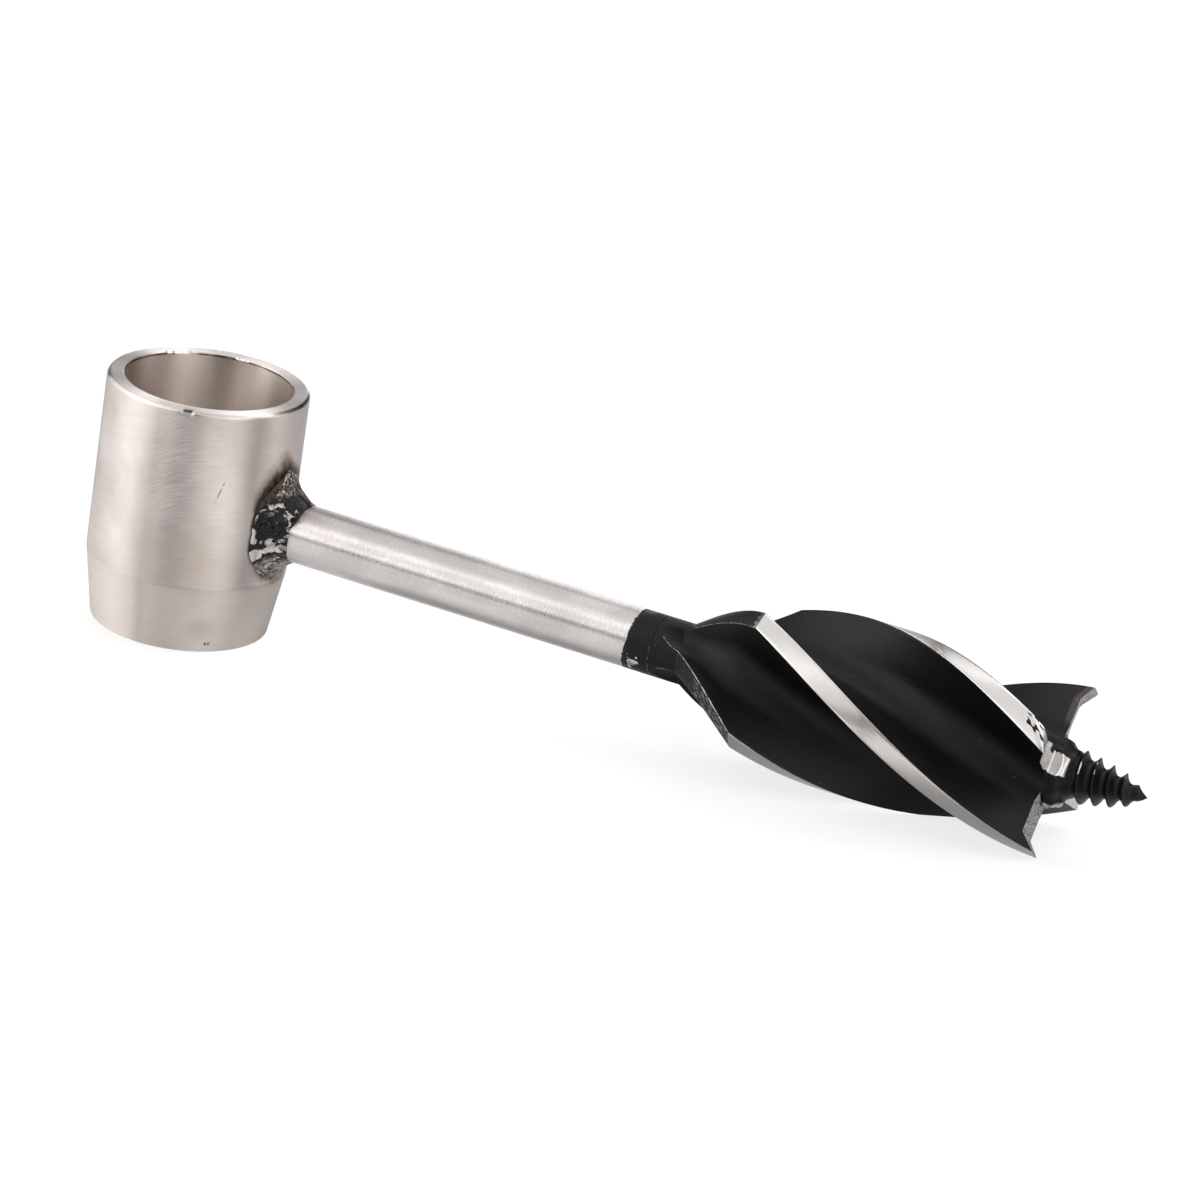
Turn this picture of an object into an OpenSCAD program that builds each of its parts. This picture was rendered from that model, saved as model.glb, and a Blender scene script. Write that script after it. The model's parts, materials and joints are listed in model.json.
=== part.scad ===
// Hand auger: a ring eye for a wooden cross handle, a round bar welded to its
// side, and a twisted four-wing bit with two spurred cutters and a screw point.
// The bore of the eye runs along Z through the origin, the bar along +X.

/* [Eye] */
// Outside diameter of the ring eye
eye_d = 33.4; // [28:0.1:41]
// Wall of the ring eye
eye_wall = 2.77; // [2.2:0.01:3.6]
// Height of the ring eye along its bore
eye_h = 42; // [34:0.5:56]
// Length of the taper turned on the lower outside
taper_l = 11.6; // [8:0.1:14]
// Wall that the taper leaves at the lower edge
taper_edge = 0.9; // [0.6:0.05:1.8]
// Chamfer on the upper outer edge
rim_chamfer = 0.45; // [0.2:0.05:0.8]

/* [Bar] */
// Diameter of the bar, shared by the neck of the bit
bar_d = 10; // [8.3:0.1:12]
// Distance from the bore axis to the cutting edges
reach = 153.2; // [125:0.1:190]
// Root gap between the coped end of the bar and the eye
root_gap = 0.1; // [0.05:0.05:0.3]
// Width of the groove weld between the bar and the bit
groove_w = 4.6; // [3.8:0.1:5.6]
// Radius of the blunt ends that meet at the root of the groove
groove_root_r = 1.8; // [1.2:0.1:2.4]

/* [Bit] */
// Cutting diameter
bit_d = 28; // [23:0.5:34]
// Thickness of a wing at its land
wing_t = 3.55; // [2.9:0.05:4.4]
// Depth of the flute bottoms below the surface of the neck
core_step = 0.1; // [0.05:0.05:0.4]
// Length of the full-diameter lands, up to the cutting edges
land_l = 49.2; // [40:0.1:60]
// Length of the shoulder behind the lands
shoulder_l = 13.6; // [11:0.1:17]
// Radius of the shoulder's convex profile
shoulder_r = 200; // [40:5:400]
// Length of the round neck, from the groove root to the shoulder
neck_l = 7.1; // [5.9:0.1:9]
// Axial length of one full right-hand turn of the flutes
flute_pitch = 160.7; // [130:0.1:195]
// Angle of the first cutter at its edge, from +Y toward +Z
cutter_clock = 230.5; // [0:0.1:360]
// Height of the spurs beyond the cutting edges
spur_h = 1.65; // [1:0.05:2.4]
// Radial width of the spurs
spur_w = 2.2; // [1.6:0.1:3]
// Relief angle behind the cutting edges
cutter_relief = 12; // [5:1:14]
// Distance that the two wings without spurs stop short of the edges at the core
plain_back = 1.5; // [1:0.1:2.5]
// Forward lean of the ends of those wings, from the core out to the land
plain_lean = 15; // [5:1:20]
// Relief angle behind the leading corners of those wings
plain_relief = 20; // [10:1:30]
// Step from the flute bottoms down to the nose in front of the cutters
nose_step = 0.15; // [0.1:0.05:0.4]
// Length of the nose in front of the cutting edges
nose_l = 3.2; // [2.4:0.1:4.2]
// Length and depth of the chamfer on the nose
nose_chamfer = 1.3; // [0.8:0.1:1.6]

/* [Screw point] */
// Length of the screw point beyond the nose
screw_l = 11.9; // [9:0.1:15]
// Diameter of the screw blank at its base
screw_d = 8.5; // [7.1:0.1:10.2]
// Diameter of the screw blank where its sharp point begins
screw_neck_d = 5.8; // [4.8:0.1:6.6]
// Length of the sharp point
point_l = 4.1; // [3:0.1:5]
// Diameter of the spigot that holds the screw in the nose
spigot_d = 5; // [4.2:0.1:6]
// Length of the spigot
spigot_l = 12; // [8:0.5:16]
// Radial clearance of the spigot in its bore, filled when it is fixed
spigot_fit = 0.03; // [0.01:0.01:0.08]

/* [Eye weld] */
// Leg of the fillet weld along the bar
weld_bar_leg = 4.2; // [3.5:0.1:5.2]
// Leg of the fillet weld up and down the eye
weld_eye_leg = 3.2; // [2.6:0.1:4]
// Hollow of the weld face, as a share of the way to its root
weld_hollow = 0.35; // [0:0.05:0.5]
// Unevenness of the weld legs, as a share of the leg
weld_waver = 0.12; // [0:0.02:0.2]

/* [Hidden] */
$fn = 96;

eye_r = eye_d / 2;
bore_r = eye_r - eye_wall;
bar_r = bar_d / 2;
bit_r = bit_d / 2;
core_r = bar_r - core_step;

// Stations along the bar
land_x = reach - land_l;
shoulder_x = land_x - shoulder_l;
joint_x = shoulder_x - neck_l;
nose_x = reach + nose_l;

// The flute is an arc that runs tangent into the two wing walls beside it
wings = 4;
half_step = 180 / wings;
wing_half = wing_t / 2;
flute_r = (core_r * sin(half_step) - wing_half) / (1 - sin(half_step));
flute_c = core_r + flute_r;
arc_l = flute_r * (90 - half_step) * PI / 180;
wall_u = flute_c * cos(half_step);
wall_r = norm([wall_u, wing_half]);

// Divisions of the lofted bit
wall_n = 8;
land_n = 2;
shoulder_n = 10;
shoulder_bias = 1.3;
twist_n = 22;
front_n = 3;
front_l = 3.5;
ring_n = wings * (2 * wall_n + land_n);

// Distance along the flute profile at which it reaches the radius r
function flute_length(r) = r > wall_r
    ? arc_l + sqrt(r * r - wing_half * wing_half) - wall_u
    : flute_r * PI / 180
      * acos((flute_c * flute_c + flute_r * flute_r - r * r) / (2 * flute_c * flute_r));

// Point of the flute profile at the distance s, beside a wing that lies along the first axis
function flute_point(s) = s > arc_l
    ? [wall_u + s - arc_l, wing_half]
    : let (a = 180 + half_step + s / flute_r * 180 / PI)
      flute_c * [cos(half_step), sin(half_step)] + flute_r * [cos(a), sin(a)];

// Outline of one wing out to the radius r: trailing wall, land, leading wall
function wing_outline(r) =
    let (s = flute_length(r), edge = flute_point(s), edge_a = atan2(edge.y, edge.x))
    [for (i = [0:wall_n]) let (p = flute_point(s * i / wall_n)) [p.x, -p.y],
     for (i = [1:land_n - 1]) let (a = edge_a * (2 * i / land_n - 1)) r * [cos(a), sin(a)],
     for (i = [wall_n:-1:1]) flute_point(s * i / wall_n)];

// Point p of wing k, set at the station x and turned with the twist
function twisted(k, p, x) =
    let (a = cutter_clock + 360 * ((x - reach) / flute_pitch + k / wings))
    [x, p.x * cos(a) - p.y * sin(a), p.x * sin(a) + p.y * cos(a)];

// Ring of plain round section
function round_ring(x, r) =
    [for (k = [0:wings - 1], q = [0:ring_n / wings - 1])
        let (a = half_step * (2 * q * wings / ring_n - 1))
        twisted(k, r * [cos(a), sin(a)], x)];

// Ring of winged section at one station
function wing_ring(x, r) =
    [for (k = [0:wings - 1], p = wing_outline(r)) twisted(k, p, x)];

// Radius of the shoulder: an arc from the neck up to the full diameter
function shoulder_at(x) =
    let (chord = [shoulder_l, bit_r - bar_r],
         half = norm(chord) / 2,
         drop = sqrt(shoulder_r * shoulder_r - half * half),
         mid = [shoulder_x, bar_r] + chord / 2,
         c = mid + drop * [chord.y, -chord.x] / norm(chord))
    c.y + sqrt(shoulder_r * shoulder_r - (x - c.x) * (x - c.x));

// Station at which the point p of a wing ends: a spurred cutter, or a plain wing that leans forward
function end_x(k, p) =
    let (r = norm(p),
         behind = wing_half - max(-wing_half, min(wing_half, p.y)),
         clear_of_core = min(1, (r - core_r) / wing_half),
         spur = max(0, (r - bit_r + spur_w) / spur_w),
         cutter = spur_h * spur - tan(cutter_relief) * behind * clear_of_core * (1 - spur),
         plain = tan(plain_lean) * (r - core_r)
             - (plain_back + tan(plain_relief) * behind) * clear_of_core)
    reach + (k % 2 == 0 ? cutter : plain);

// Ring part of the way from the last straight ring to the ground front
function front_ring(f) =
    [for (k = [0:wings - 1], p = wing_outline(bit_r))
        twisted(k, p, (reach - front_l) * (1 - f) + end_x(k, p) * f)];

bit_rings = concat(
    [round_ring(joint_x, groove_root_r),
     round_ring(joint_x + groove_w / 2, bar_r),
     round_ring(shoulder_x, bar_r)],
    [for (i = [1:shoulder_n])
        let (x = shoulder_x + shoulder_l * pow(i / shoulder_n, shoulder_bias))
        wing_ring(x, shoulder_at(x))],
    [for (i = [1:twist_n]) wing_ring(land_x + (land_l - front_l) * i / twist_n, bit_r)],
    [for (i = [1:front_n]) front_ring(i / front_n)]);

// Faces of the wing ends, from the flute bottoms out to the lands, about one middle point
function end_faces(first, middle) =
    let (w = ring_n / wings, at = function (k, q) first + (k * w + q) % ring_n)
    [for (k = [0:wings - 1]) each concat(
        [for (t = [1:wall_n - 1]) each
            [[at(k, t), at(k, w - t), at(k, w - t - 1)],
             [at(k, t), at(k, w - t - 1), at(k, t + 1)]]],
        [[for (q = [wall_n + land_n:-1:wall_n]) at(k, q)]],
        [[middle, at(k, 1), at(k, 0)],
         [middle, at(k, w - 1), at(k, 1)],
         [middle, at(k, w), at(k, w - 1)]])];

module bit_loft() {
    last = len(bit_rings) - 1;
    points = concat([for (ring = bit_rings) each ring], [[reach, 0, 0]]);
    sides = [for (j = [0:last - 1], i = [0:ring_n - 1])
        let (a = j * ring_n + i, b = j * ring_n + (i + 1) % ring_n)
        each [[a, a + ring_n, b + ring_n], [a, b + ring_n, b]]];
    polyhedron(points, concat([[for (i = [0:ring_n - 1]) i]], sides,
                              end_faces(last * ring_n, len(points) - 1)));
}

// Solid of revolution about the bar's axis, from points of [radius, station]
module turned(profile) {
    rotate([0, 90, 0]) rotate_extrude() polygon(profile);
}

module eye_socket() {
    color("silver")
    rotate_extrude()
    polygon([[bore_r, -eye_h / 2],
             [bore_r + taper_edge, -eye_h / 2],
             [eye_r, taper_l - eye_h / 2],
             [eye_r, eye_h / 2 - rim_chamfer],
             [eye_r - rim_chamfer, eye_h / 2],
             [bore_r, eye_h / 2]]);
}

// Solid cylinder over the outside of the eye
module eye_blank(gap) {
    cylinder(h = eye_h, r = eye_r + gap, center = true);
}

module shank() {
    color("lightgray")
    difference() {
        turned([[0, 0], [bar_r, 0], [bar_r, joint_x - groove_w / 2],
                [groove_root_r, joint_x], [0, joint_x]]);
        eye_blank(root_gap);
    }
}

module groove_weld() {
    color("dimgray")
    turned([[groove_root_r, joint_x],
            [bar_r, joint_x + groove_w / 2],
            [bar_r, joint_x - groove_w / 2]]);
}

module bit_body() {
    nose_r = core_r - nose_step;
    color("gray")
    difference() {
        union() {
            bit_loft();
            turned([[0, reach - front_l], [nose_r - nose_step, reach - front_l],
                    [nose_r, reach], [nose_r, nose_x - nose_chamfer],
                    [nose_r - nose_chamfer, nose_x], [0, nose_x]]);
        }
        turned([[0, nose_x - spigot_l], [spigot_d / 2, nose_x - spigot_l],
                [spigot_d / 2, nose_x + nose_l], [0, nose_x + nose_l]]);
    }
}

module lead_screw() {
    spigot_r = spigot_d / 2 - spigot_fit;
    base_r = core_r - nose_step - nose_chamfer;
    flare_l = screw_d / 2 - base_r;
    color("black")
    turned([[0, nose_x - spigot_l], [spigot_r, nose_x - spigot_l], [spigot_r, nose_x],
            [base_r, nose_x], [screw_d / 2, nose_x + flare_l],
            [screw_neck_d / 2, nose_x + screw_l - point_l], [0, nose_x + screw_l]]);
}

// Divisions of a weld run along its length, across its face and down the eye
weld_n = 9;
weld_face_n = 6;
weld_seat_n = 3;
// Angle by which the loft of a run reaches past the planes that stop it
weld_overrun = 5;
// Clearance of the flat-sided weld lofts on the round bar and eye
weld_seat = 0.05;
// Swells of the weld legs in one turn, and the angle at which they begin
weld_swells = 5;
weld_start = 40;

// Station of the eye's outside at the distance y beside the bar's axis
function saddle_x(y) = sqrt(pow(eye_r + weld_seat, 2) - y * y);

// Section of the fillet weld at the angle a about the bar, as points of [station, radius]
function weld_section(a) =
    let (waver = 1 + weld_waver * sin(weld_swells * a + weld_start),
         seat_r = bar_r + weld_seat,
         out_r = seat_r + weld_eye_leg * waver * (1 + weld_waver * sin(a)),
         root = [saddle_x(seat_r * cos(a)), seat_r],
         toe_bar = root + [weld_bar_leg * waver, 0],
         toe_eye = [saddle_x(out_r * cos(a)), out_r],
         pull = (toe_bar + toe_eye) / 2 * (1 - weld_hollow) + root * weld_hollow)
    [for (i = [0:weld_face_n]) let (t = i / weld_face_n)
         (1 - t) * (1 - t) * toe_bar + 2 * t * (1 - t) * pull + t * t * toe_eye,
     for (i = [1:weld_seat_n]) let (r = out_r + (seat_r - out_r) * i / weld_seat_n)
         [saddle_x(r * cos(a)), r]];

// Fillet weld lofted round the bar between two angles, from +Y toward +Z
module weld_loft(from, to) {
    rings = [for (i = [0:weld_n]) let (a = from + (to - from) * i / weld_n)
        [for (p = weld_section(a)) [p.x, p.y * cos(a), p.y * sin(a)]]];
    m = len(rings[0]);
    sides = [for (j = [0:weld_n - 1], i = [0:m - 1])
        let (a = j * m + i, b = j * m + (i + 1) % m)
        each [[a, b + m, b], [a, a + m, b + m]]];
    polyhedron([for (ring = rings) each ring],
               concat([[for (i = [0:m - 1]) i]], sides,
                      [[for (i = [m - 1:-1:0]) weld_n * m + i]]));
}

// Quarter run of the weld from one angle about the bar, stopped on two radial planes
module weld_run(from) {
    color("darkgray")
    intersection() {
        weld_loft(from - weld_overrun, from + 90 + weld_overrun);
        rotate([from, 0, 0]) cube([reach, eye_r, eye_r]);
    }
}

module weld_upper() weld_run(45);
module weld_front() weld_run(135);
module weld_lower() weld_run(225);
module weld_rear() weld_run(315);

eye_socket();
shank();
groove_weld();
bit_body();
lead_screw();
weld_upper();
weld_front();
weld_lower();
weld_rear();
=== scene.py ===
"""Looks of a hand auger: a turned ring eye, a brushed bar and a twisted black bit with bright ground lands.

Lengths are written in millimetres and angles in degrees. Angles about the bar run from +Y toward +Z,
angles about the eye from +X toward +Y.
"""
import json
import math

import bmesh
import bpy
import numpy as np
from mathutils import Matrix, Vector, noise


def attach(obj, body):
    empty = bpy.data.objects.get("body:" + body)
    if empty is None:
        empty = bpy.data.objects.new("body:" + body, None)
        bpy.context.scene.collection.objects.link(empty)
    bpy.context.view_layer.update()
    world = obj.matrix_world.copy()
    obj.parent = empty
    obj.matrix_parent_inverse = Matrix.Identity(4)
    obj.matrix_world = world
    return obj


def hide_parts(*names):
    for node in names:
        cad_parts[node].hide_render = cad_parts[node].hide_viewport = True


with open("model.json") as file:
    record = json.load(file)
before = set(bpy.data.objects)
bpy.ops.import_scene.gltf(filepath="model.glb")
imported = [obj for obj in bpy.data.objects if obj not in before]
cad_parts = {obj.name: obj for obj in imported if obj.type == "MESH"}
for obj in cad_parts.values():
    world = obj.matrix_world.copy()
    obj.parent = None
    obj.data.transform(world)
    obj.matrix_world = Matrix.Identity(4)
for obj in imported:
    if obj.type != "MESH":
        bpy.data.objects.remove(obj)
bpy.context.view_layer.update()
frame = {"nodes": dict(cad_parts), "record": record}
MM = 0.001
AXIS_X = np.array([1.0, 0.0, 0.0])

# Sizes taken from the frame


def node_points(node):
    """Vertices of a CAD node, in millimetres."""
    return np.array([v.co for v in frame["nodes"][node].data.vertices]) / MM


def farthest(node, axis):
    """Largest distance of a node from the X (0) or Z (2) axis."""
    return np.linalg.norm(np.delete(node_points(node), axis, axis=1), axis=1).max()


def extent(node, axis):
    """Lowest and highest place of a node along one axis."""
    along = node_points(node)[:, axis]
    return along.min(), along.max()


MOUNTS = {m["name"]: m for m in frame["record"]["mounts"]}
EYE_R = farthest("eye_socket", 2)
BORE_R = MOUNTS["eye_bore"]["dims"]["r_mm"]
EYE_BOTTOM, EYE_TOP = extent("eye_socket", 2)
BAR_R = farthest("groove_weld", 0)
GROOVE_X0, GROOVE_X1 = extent("groove_weld", 0)
JOINT_X, NOSE_X = extent("bit_body", 0)
TIP_X = extent("lead_screw", 0)[1]
BIT_R = farthest("bit_body", 0)

# Sizes that the frame's boxes don't give
TAPER_L = 11.6
TAPER_EDGE = 0.9
RIM_CHAMFER = 0.45
ROOT_GAP = 0.1
GROOVE_ROOT_R = 1.8
REACH = 153.2
LAND_X = 104.0
SHOULDER_X = 90.4
SHOULDER_R = 200.0
CORE_R = 4.9
WING_HALF = 3.55 / 2
WINGS = 4
FLUTE_PITCH = 160.7
CUTTER_CLOCK = 230.5
SPUR_H = 1.65
SPUR_W = 2.2
CUTTER_RELIEF = 12
PLAIN_BACK = 1.5
PLAIN_LEAN = 15

# Mesh helpers


def wobble(points, size, seed=0.0):
    """Smooth noise from -1 to 1 at each point, with features of about that size."""
    places = np.asarray(points, float).reshape(-1, 3) / size + seed
    found = np.fromiter((noise.noise(p) for p in places.tolist()), float, len(places))
    return found.reshape(np.shape(points)[:-1])


def smooth(low, high, value):
    """Smooth step from 0 at low to 1 at high."""
    t = np.clip((np.asarray(value, float) - low) / (high - low), 0, 1)
    return t * t * (3 - 2 * t)


def span(value, a, b, c, d):
    """1 from b to c, with smooth steps up from a and down to d."""
    return smooth(a, b, value) * smooth(d, c, value)


def hump(off, half, power=2):
    """1 where off is 0, fading over a half width."""
    return np.exp(-(off / half) ** power)


def flat(x, y):
    """Points in a plane from their two coordinates."""
    x, y = np.broadcast_arrays(x, y)
    return np.stack([x, y, np.zeros(x.shape)], axis=-1)


def around(angle):
    """Unit vectors about the X axis."""
    a = np.radians(angle)
    return np.stack([np.zeros_like(a), np.cos(a), np.sin(a)], axis=-1)


def on_rings(x, r, angle):
    """Points at stations x and distances r from the X axis, at angles about it."""
    x, r, angle = np.broadcast_arrays(x, r, angle)
    return x[..., None] * AXIS_X + r[..., None] * around(angle)


def polar(points):
    """Distance from the X axis and angle about it."""
    y, z = points[..., 1], points[..., 2]
    return np.hypot(y, z), np.degrees(np.arctan2(z, y)) % 360


def grown(points, share):
    """Points with their distance from the X axis multiplied by a share."""
    return points * np.stack([np.ones_like(share), share, share], axis=-1)


def path(start, *stops):
    """Points or values along straight stretches, with each stop as (point, number of steps to it)."""
    line = [np.array(start, float)]
    for stop, count in stops:
        line += list(np.linspace(line[-1], np.array(stop, float), count + 1)[1:])
    return np.array(line)


def segment_distance(points, start, end):
    """Distance of points from a segment."""
    start, end = np.array(start, float), np.array(end, float)
    along = end - start
    t = np.clip(((points - start) @ along) / (along @ along), 0, 1)
    return np.linalg.norm(points - start - t[..., None] * along, axis=-1)


def grid_faces(rows, cols, wrap_rows=False, wrap_cols=True):
    """Quads of a grid, which may close round in either direction."""
    index = np.arange(rows * cols).reshape(rows, cols)
    if wrap_rows:
        index = np.vstack([index, index[:1]])
    right = np.roll(index, -1, axis=1)
    quads = np.stack([index[:-1], right[:-1], right[1:], index[1:]], axis=-1)
    if not wrap_cols:
        quads = quads[:, :-1]
    return quads.reshape(-1, 4).tolist()


def end_caps(rows, cols):
    """Faces that close the first and last rows of a grid."""
    return [list(range(cols - 1, -1, -1)), list(range((rows - 1) * cols, rows * cols))]


def mesh_of(name, points, faces, material, **attributes):
    """Mesh from points in millimetres, with named values or vectors at its points."""
    mesh = bpy.data.meshes.new(name)
    mesh.from_pydata((np.reshape(points, (-1, 3)) * MM).tolist(), [], faces)
    for key, values in attributes.items():
        wide = np.ndim(values) == 3
        layer = mesh.attributes.new(key, "FLOAT_VECTOR" if wide else "FLOAT", "POINT")
        layer.data.foreach_set("vector" if wide else "value", np.asarray(values, np.float32).ravel())
    mesh.materials.append(material)
    return mesh


def placed(name, data):
    """New object in the scene."""
    obj = bpy.data.objects.new(name, data)
    bpy.context.scene.collection.objects.link(obj)
    return obj


def piece(name, points, faces, material, slot, node, **attributes):
    """Smooth-shaded piece of the object, in the place of a CAD node."""
    mesh = mesh_of(name, points, faces, material, **attributes)
    mesh.validate()
    mesh.shade_smooth()
    obj = placed(name, mesh)
    obj.modifiers.new("normals", "WEIGHTED_NORMAL").keep_sharp = True
    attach(obj, "root")
    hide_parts(node)
    return obj


# Material helpers


class Nodes:
    """Nodes of a material or world, each added with its inputs."""

    def __init__(self, owner):
        owner.use_nodes = True
        self.tree = owner.node_tree
        self.tree.nodes.clear()

    def add(self, kind, inputs=(), **settings):
        node = self.tree.nodes.new("ShaderNode" + kind)
        for key, value in settings.items():
            setattr(node, key, value)
        for key, value in dict(inputs).items():
            self.feed(node.inputs[key], value)
        return node

    def feed(self, socket, value):
        """Links a socket to another one or sets its value."""
        if isinstance(value, bpy.types.NodeSocket):
            self.tree.links.new(value, socket)
        elif socket.type == "RGBA":
            socket.default_value = (*value, 1)
        else:
            socket.default_value = value

    def out(self, kind, surface):
        self.add("Output" + kind, {"Surface": surface})

    def attribute(self, name, output="Fac"):
        return self.add("Attribute", attribute_name=name).outputs[output]

    def math(self, operation, *values):
        """Values joined by an operation, from the first to the last."""
        found = values[0]
        for value in values[1:]:
            found = self.add("Math", {0: found, 1: value}, operation=operation).outputs[0]
        return found

    def times(self, *values):
        return self.math("MULTIPLY", *values)

    def plus(self, *values):
        return self.math("ADD", *values)

    def rest(self, share):
        """What a share leaves of 1."""
        return self.math("SUBTRACT", 1.0, share)

    def to_view(self):
        """1 for the rays that show the background: camera, glossy and transmission rays."""
        rays = self.add("LightPath").outputs
        kinds = ("Is Camera Ray", "Is Glossy Ray", "Is Transmission Ray")
        return self.math("MAXIMUM", *(rays[kind] for kind in kinds))


class Finish(Nodes):
    """A material with one Principled shader, whose sockets are fed by short chains of nodes."""

    def __init__(self, name):
        self.material = bpy.data.materials.new(name)
        super().__init__(self.material)
        self.shader = self.add("BsdfPrincipled")
        self.out("Material", self.shader.outputs[0])
        self.object = self.add("TexCoord").outputs["Object"]

    def set(self, **sockets):
        for key, value in sockets.items():
            self.feed(self.shader.inputs[key.replace("_", " ")], value)

    def step(self, value, low, high):
        """Smooth step from 0 at low to 1 at high."""
        node = self.add("MapRange", {"Value": value, "From Min": low, "From Max": high},
                        interpolation_type="SMOOTHSTEP")
        return node.outputs["Result"]

    def between(self, share, low, high):
        """Value from low at share 0 to high at share 1; either may be a socket."""
        return self.add("Mix", {0: share, 2: low, 3: high}, data_type="FLOAT").outputs[0]

    def colour(self, share, low, high):
        """Colour from low at share 0 to high at share 1; either may be a socket."""
        return self.add("Mix", {0: share, 6: low, 7: high}, data_type="RGBA").outputs[2]

    def layers(self, colour, *over):
        """Colour with others laid over it, each as (share, colour)."""
        for share, top in over:
            colour = self.colour(share, colour, top)
        return colour

    def scaled(self, source, sizes):
        """Coordinates for a pattern with features of these sizes in millimetres."""
        unit = MM if source == self.object else 1
        factors = tuple(1 / (s * unit) for s in sizes)
        return self.add("VectorMath", {0: source, 1: factors}, operation="MULTIPLY").outputs[0]

    def noise(self, sizes, source=None, detail=2.0, roughness=0.5):
        """Noise from 0 to 1 with features of these sizes along three axes."""
        vector = self.scaled(source or self.object, sizes)
        node = self.add("TexNoise", {"Vector": vector, "Scale": 1.0, "Detail": detail,
                                     "Roughness": roughness})
        return node.outputs["Fac"]

    def spots(self, size):
        """Distance from scattered spots, as a share of their spacing."""
        vector = self.scaled(self.object, (size,) * 3)
        return self.add("TexVoronoi", {"Vector": vector, "Scale": 1.0}).outputs["Distance"]

    def dots(self, size, near, far):
        """1 on scattered dots, fading to 0 from near to far, as shares of their spacing."""
        return self.rest(self.step(self.spots(size), near, far))

    def streak(self, source, start, end, width):
        """Thin broken scratch from start to end on a flat source, in millimetres."""
        along = np.subtract(end, start)
        half = float(np.linalg.norm(along)) / 2
        way = tuple(along / (2 * half))
        middle = (*np.add(start, end) / 2, 0)
        off = self.add("VectorMath", {0: source, 1: middle}, operation="SUBTRACT").outputs[0]
        fades = []
        for axis, near, far in (((*way, 0), 0.7 * half, half), ((-way[1], way[0], 0), 0.4 * width, width)):
            dot = self.add("VectorMath", {0: off, 1: axis}, operation="DOT_PRODUCT").outputs["Value"]
            size = self.add("Math", {0: dot}, operation="ABSOLUTE").outputs[0]
            fades.append(self.rest(self.step(size, near, far)))
        return self.times(*fades, self.step(self.noise((0.7, 0.7, 1), source, detail=3), 0.36, 0.5))

    def bump(self, height, depth, normal=None):
        """Normal of a surface whose height from 0 to 1 spans a depth in millimetres."""
        inputs = {"Height": height, "Distance": depth * MM, "Strength": 1.0}
        if normal:
            inputs["Normal"] = normal
        return self.add("Bump", inputs).outputs[0]

    def brushed(self, axis, amount):
        """Sockets for a shine drawn out by lines that run round an axis."""
        tangent = self.add("Tangent", direction_type="RADIAL", axis=axis).outputs[0]
        return {"Anisotropic": amount, "Anisotropic_Rotation": 0.25, "Tangent": tangent}


# Materials

# Turned eye
CLEAN_STEEL = (0.76, 0.693, 0.66)
SHADED_STEEL = (0.63, 0.566, 0.532)
LINE_STEEL = (0.36, 0.316, 0.288)
BORE_STEEL = (0.80, 0.715, 0.655)
TAPER_STEEL = (0.75, 0.69, 0.655)
# Faced top of the rim and burr faces: their own faced finish, painted much brighter than the other steel as
# a painted highlight
FACED_HIGHLIGHT_STEEL = (0.93, 0.875, 0.845)
WARM_STEEL = (0.52, 0.435, 0.345)
# Dark of the pits, nick and scratch, also used for a painted shadow line just under the bore's upper edge
PIT_AND_SHADOW_DARK = (0.02, 0.017, 0.016)
# Scratch on the eye, as its ends on the unrolled surface and its half width
SCRATCH = ((-13.7, 9.8), (-14.95, 6.0), 0.09)
# Heat and weld
STRAW = (0.38, 0.295, 0.235)
HEAT_BROWN = (0.085, 0.06, 0.047)
SCALE_BLACK = (0.008, 0.0075, 0.0075)
OXIDE_BROWN = (0.10, 0.075, 0.06)
OXIDE_GREY = (0.30, 0.265, 0.24)
WELD_BRIGHT = (0.74, 0.70, 0.67)
# Bar
BAR_CLEAN = (0.69, 0.65, 0.637)
BAR_SHADED = (0.585, 0.548, 0.534)
BAR_STROKE = (0.40, 0.365, 0.335)
BAR_LINE = (0.46, 0.41, 0.38)
BAR_SPECK = (0.2, 0.15, 0.13)
BAR_STRAW = (0.36, 0.31, 0.28)
# Paint, and the steel under it
PAINT_BLACK = (0.0026, 0.0026, 0.0029)
PAINT_DUSTY = (0.0065, 0.0065, 0.007)
PAINT_STREAK = (0.009, 0.009, 0.0095)
PAINT_SCUFF = (0.09, 0.085, 0.08)
PAINT_SPECK = (0.045, 0.045, 0.045)
PAINT_FLECK = (0.2, 0.2, 0.2)
BROWN_DARK = (0.03, 0.024, 0.021)
RUBBED = (0.25, 0.205, 0.19)
GROUND_STEEL = (0.78, 0.745, 0.725)
DULL_STEEL = (0.62, 0.6, 0.58)
GRIND_STEEL = (0.5, 0.48, 0.46)
STAINED_STEEL = (0.19, 0.148, 0.122)
END_STEEL = (0.68, 0.655, 0.635)
END_PIT = (0.07, 0.064, 0.06)


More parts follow.
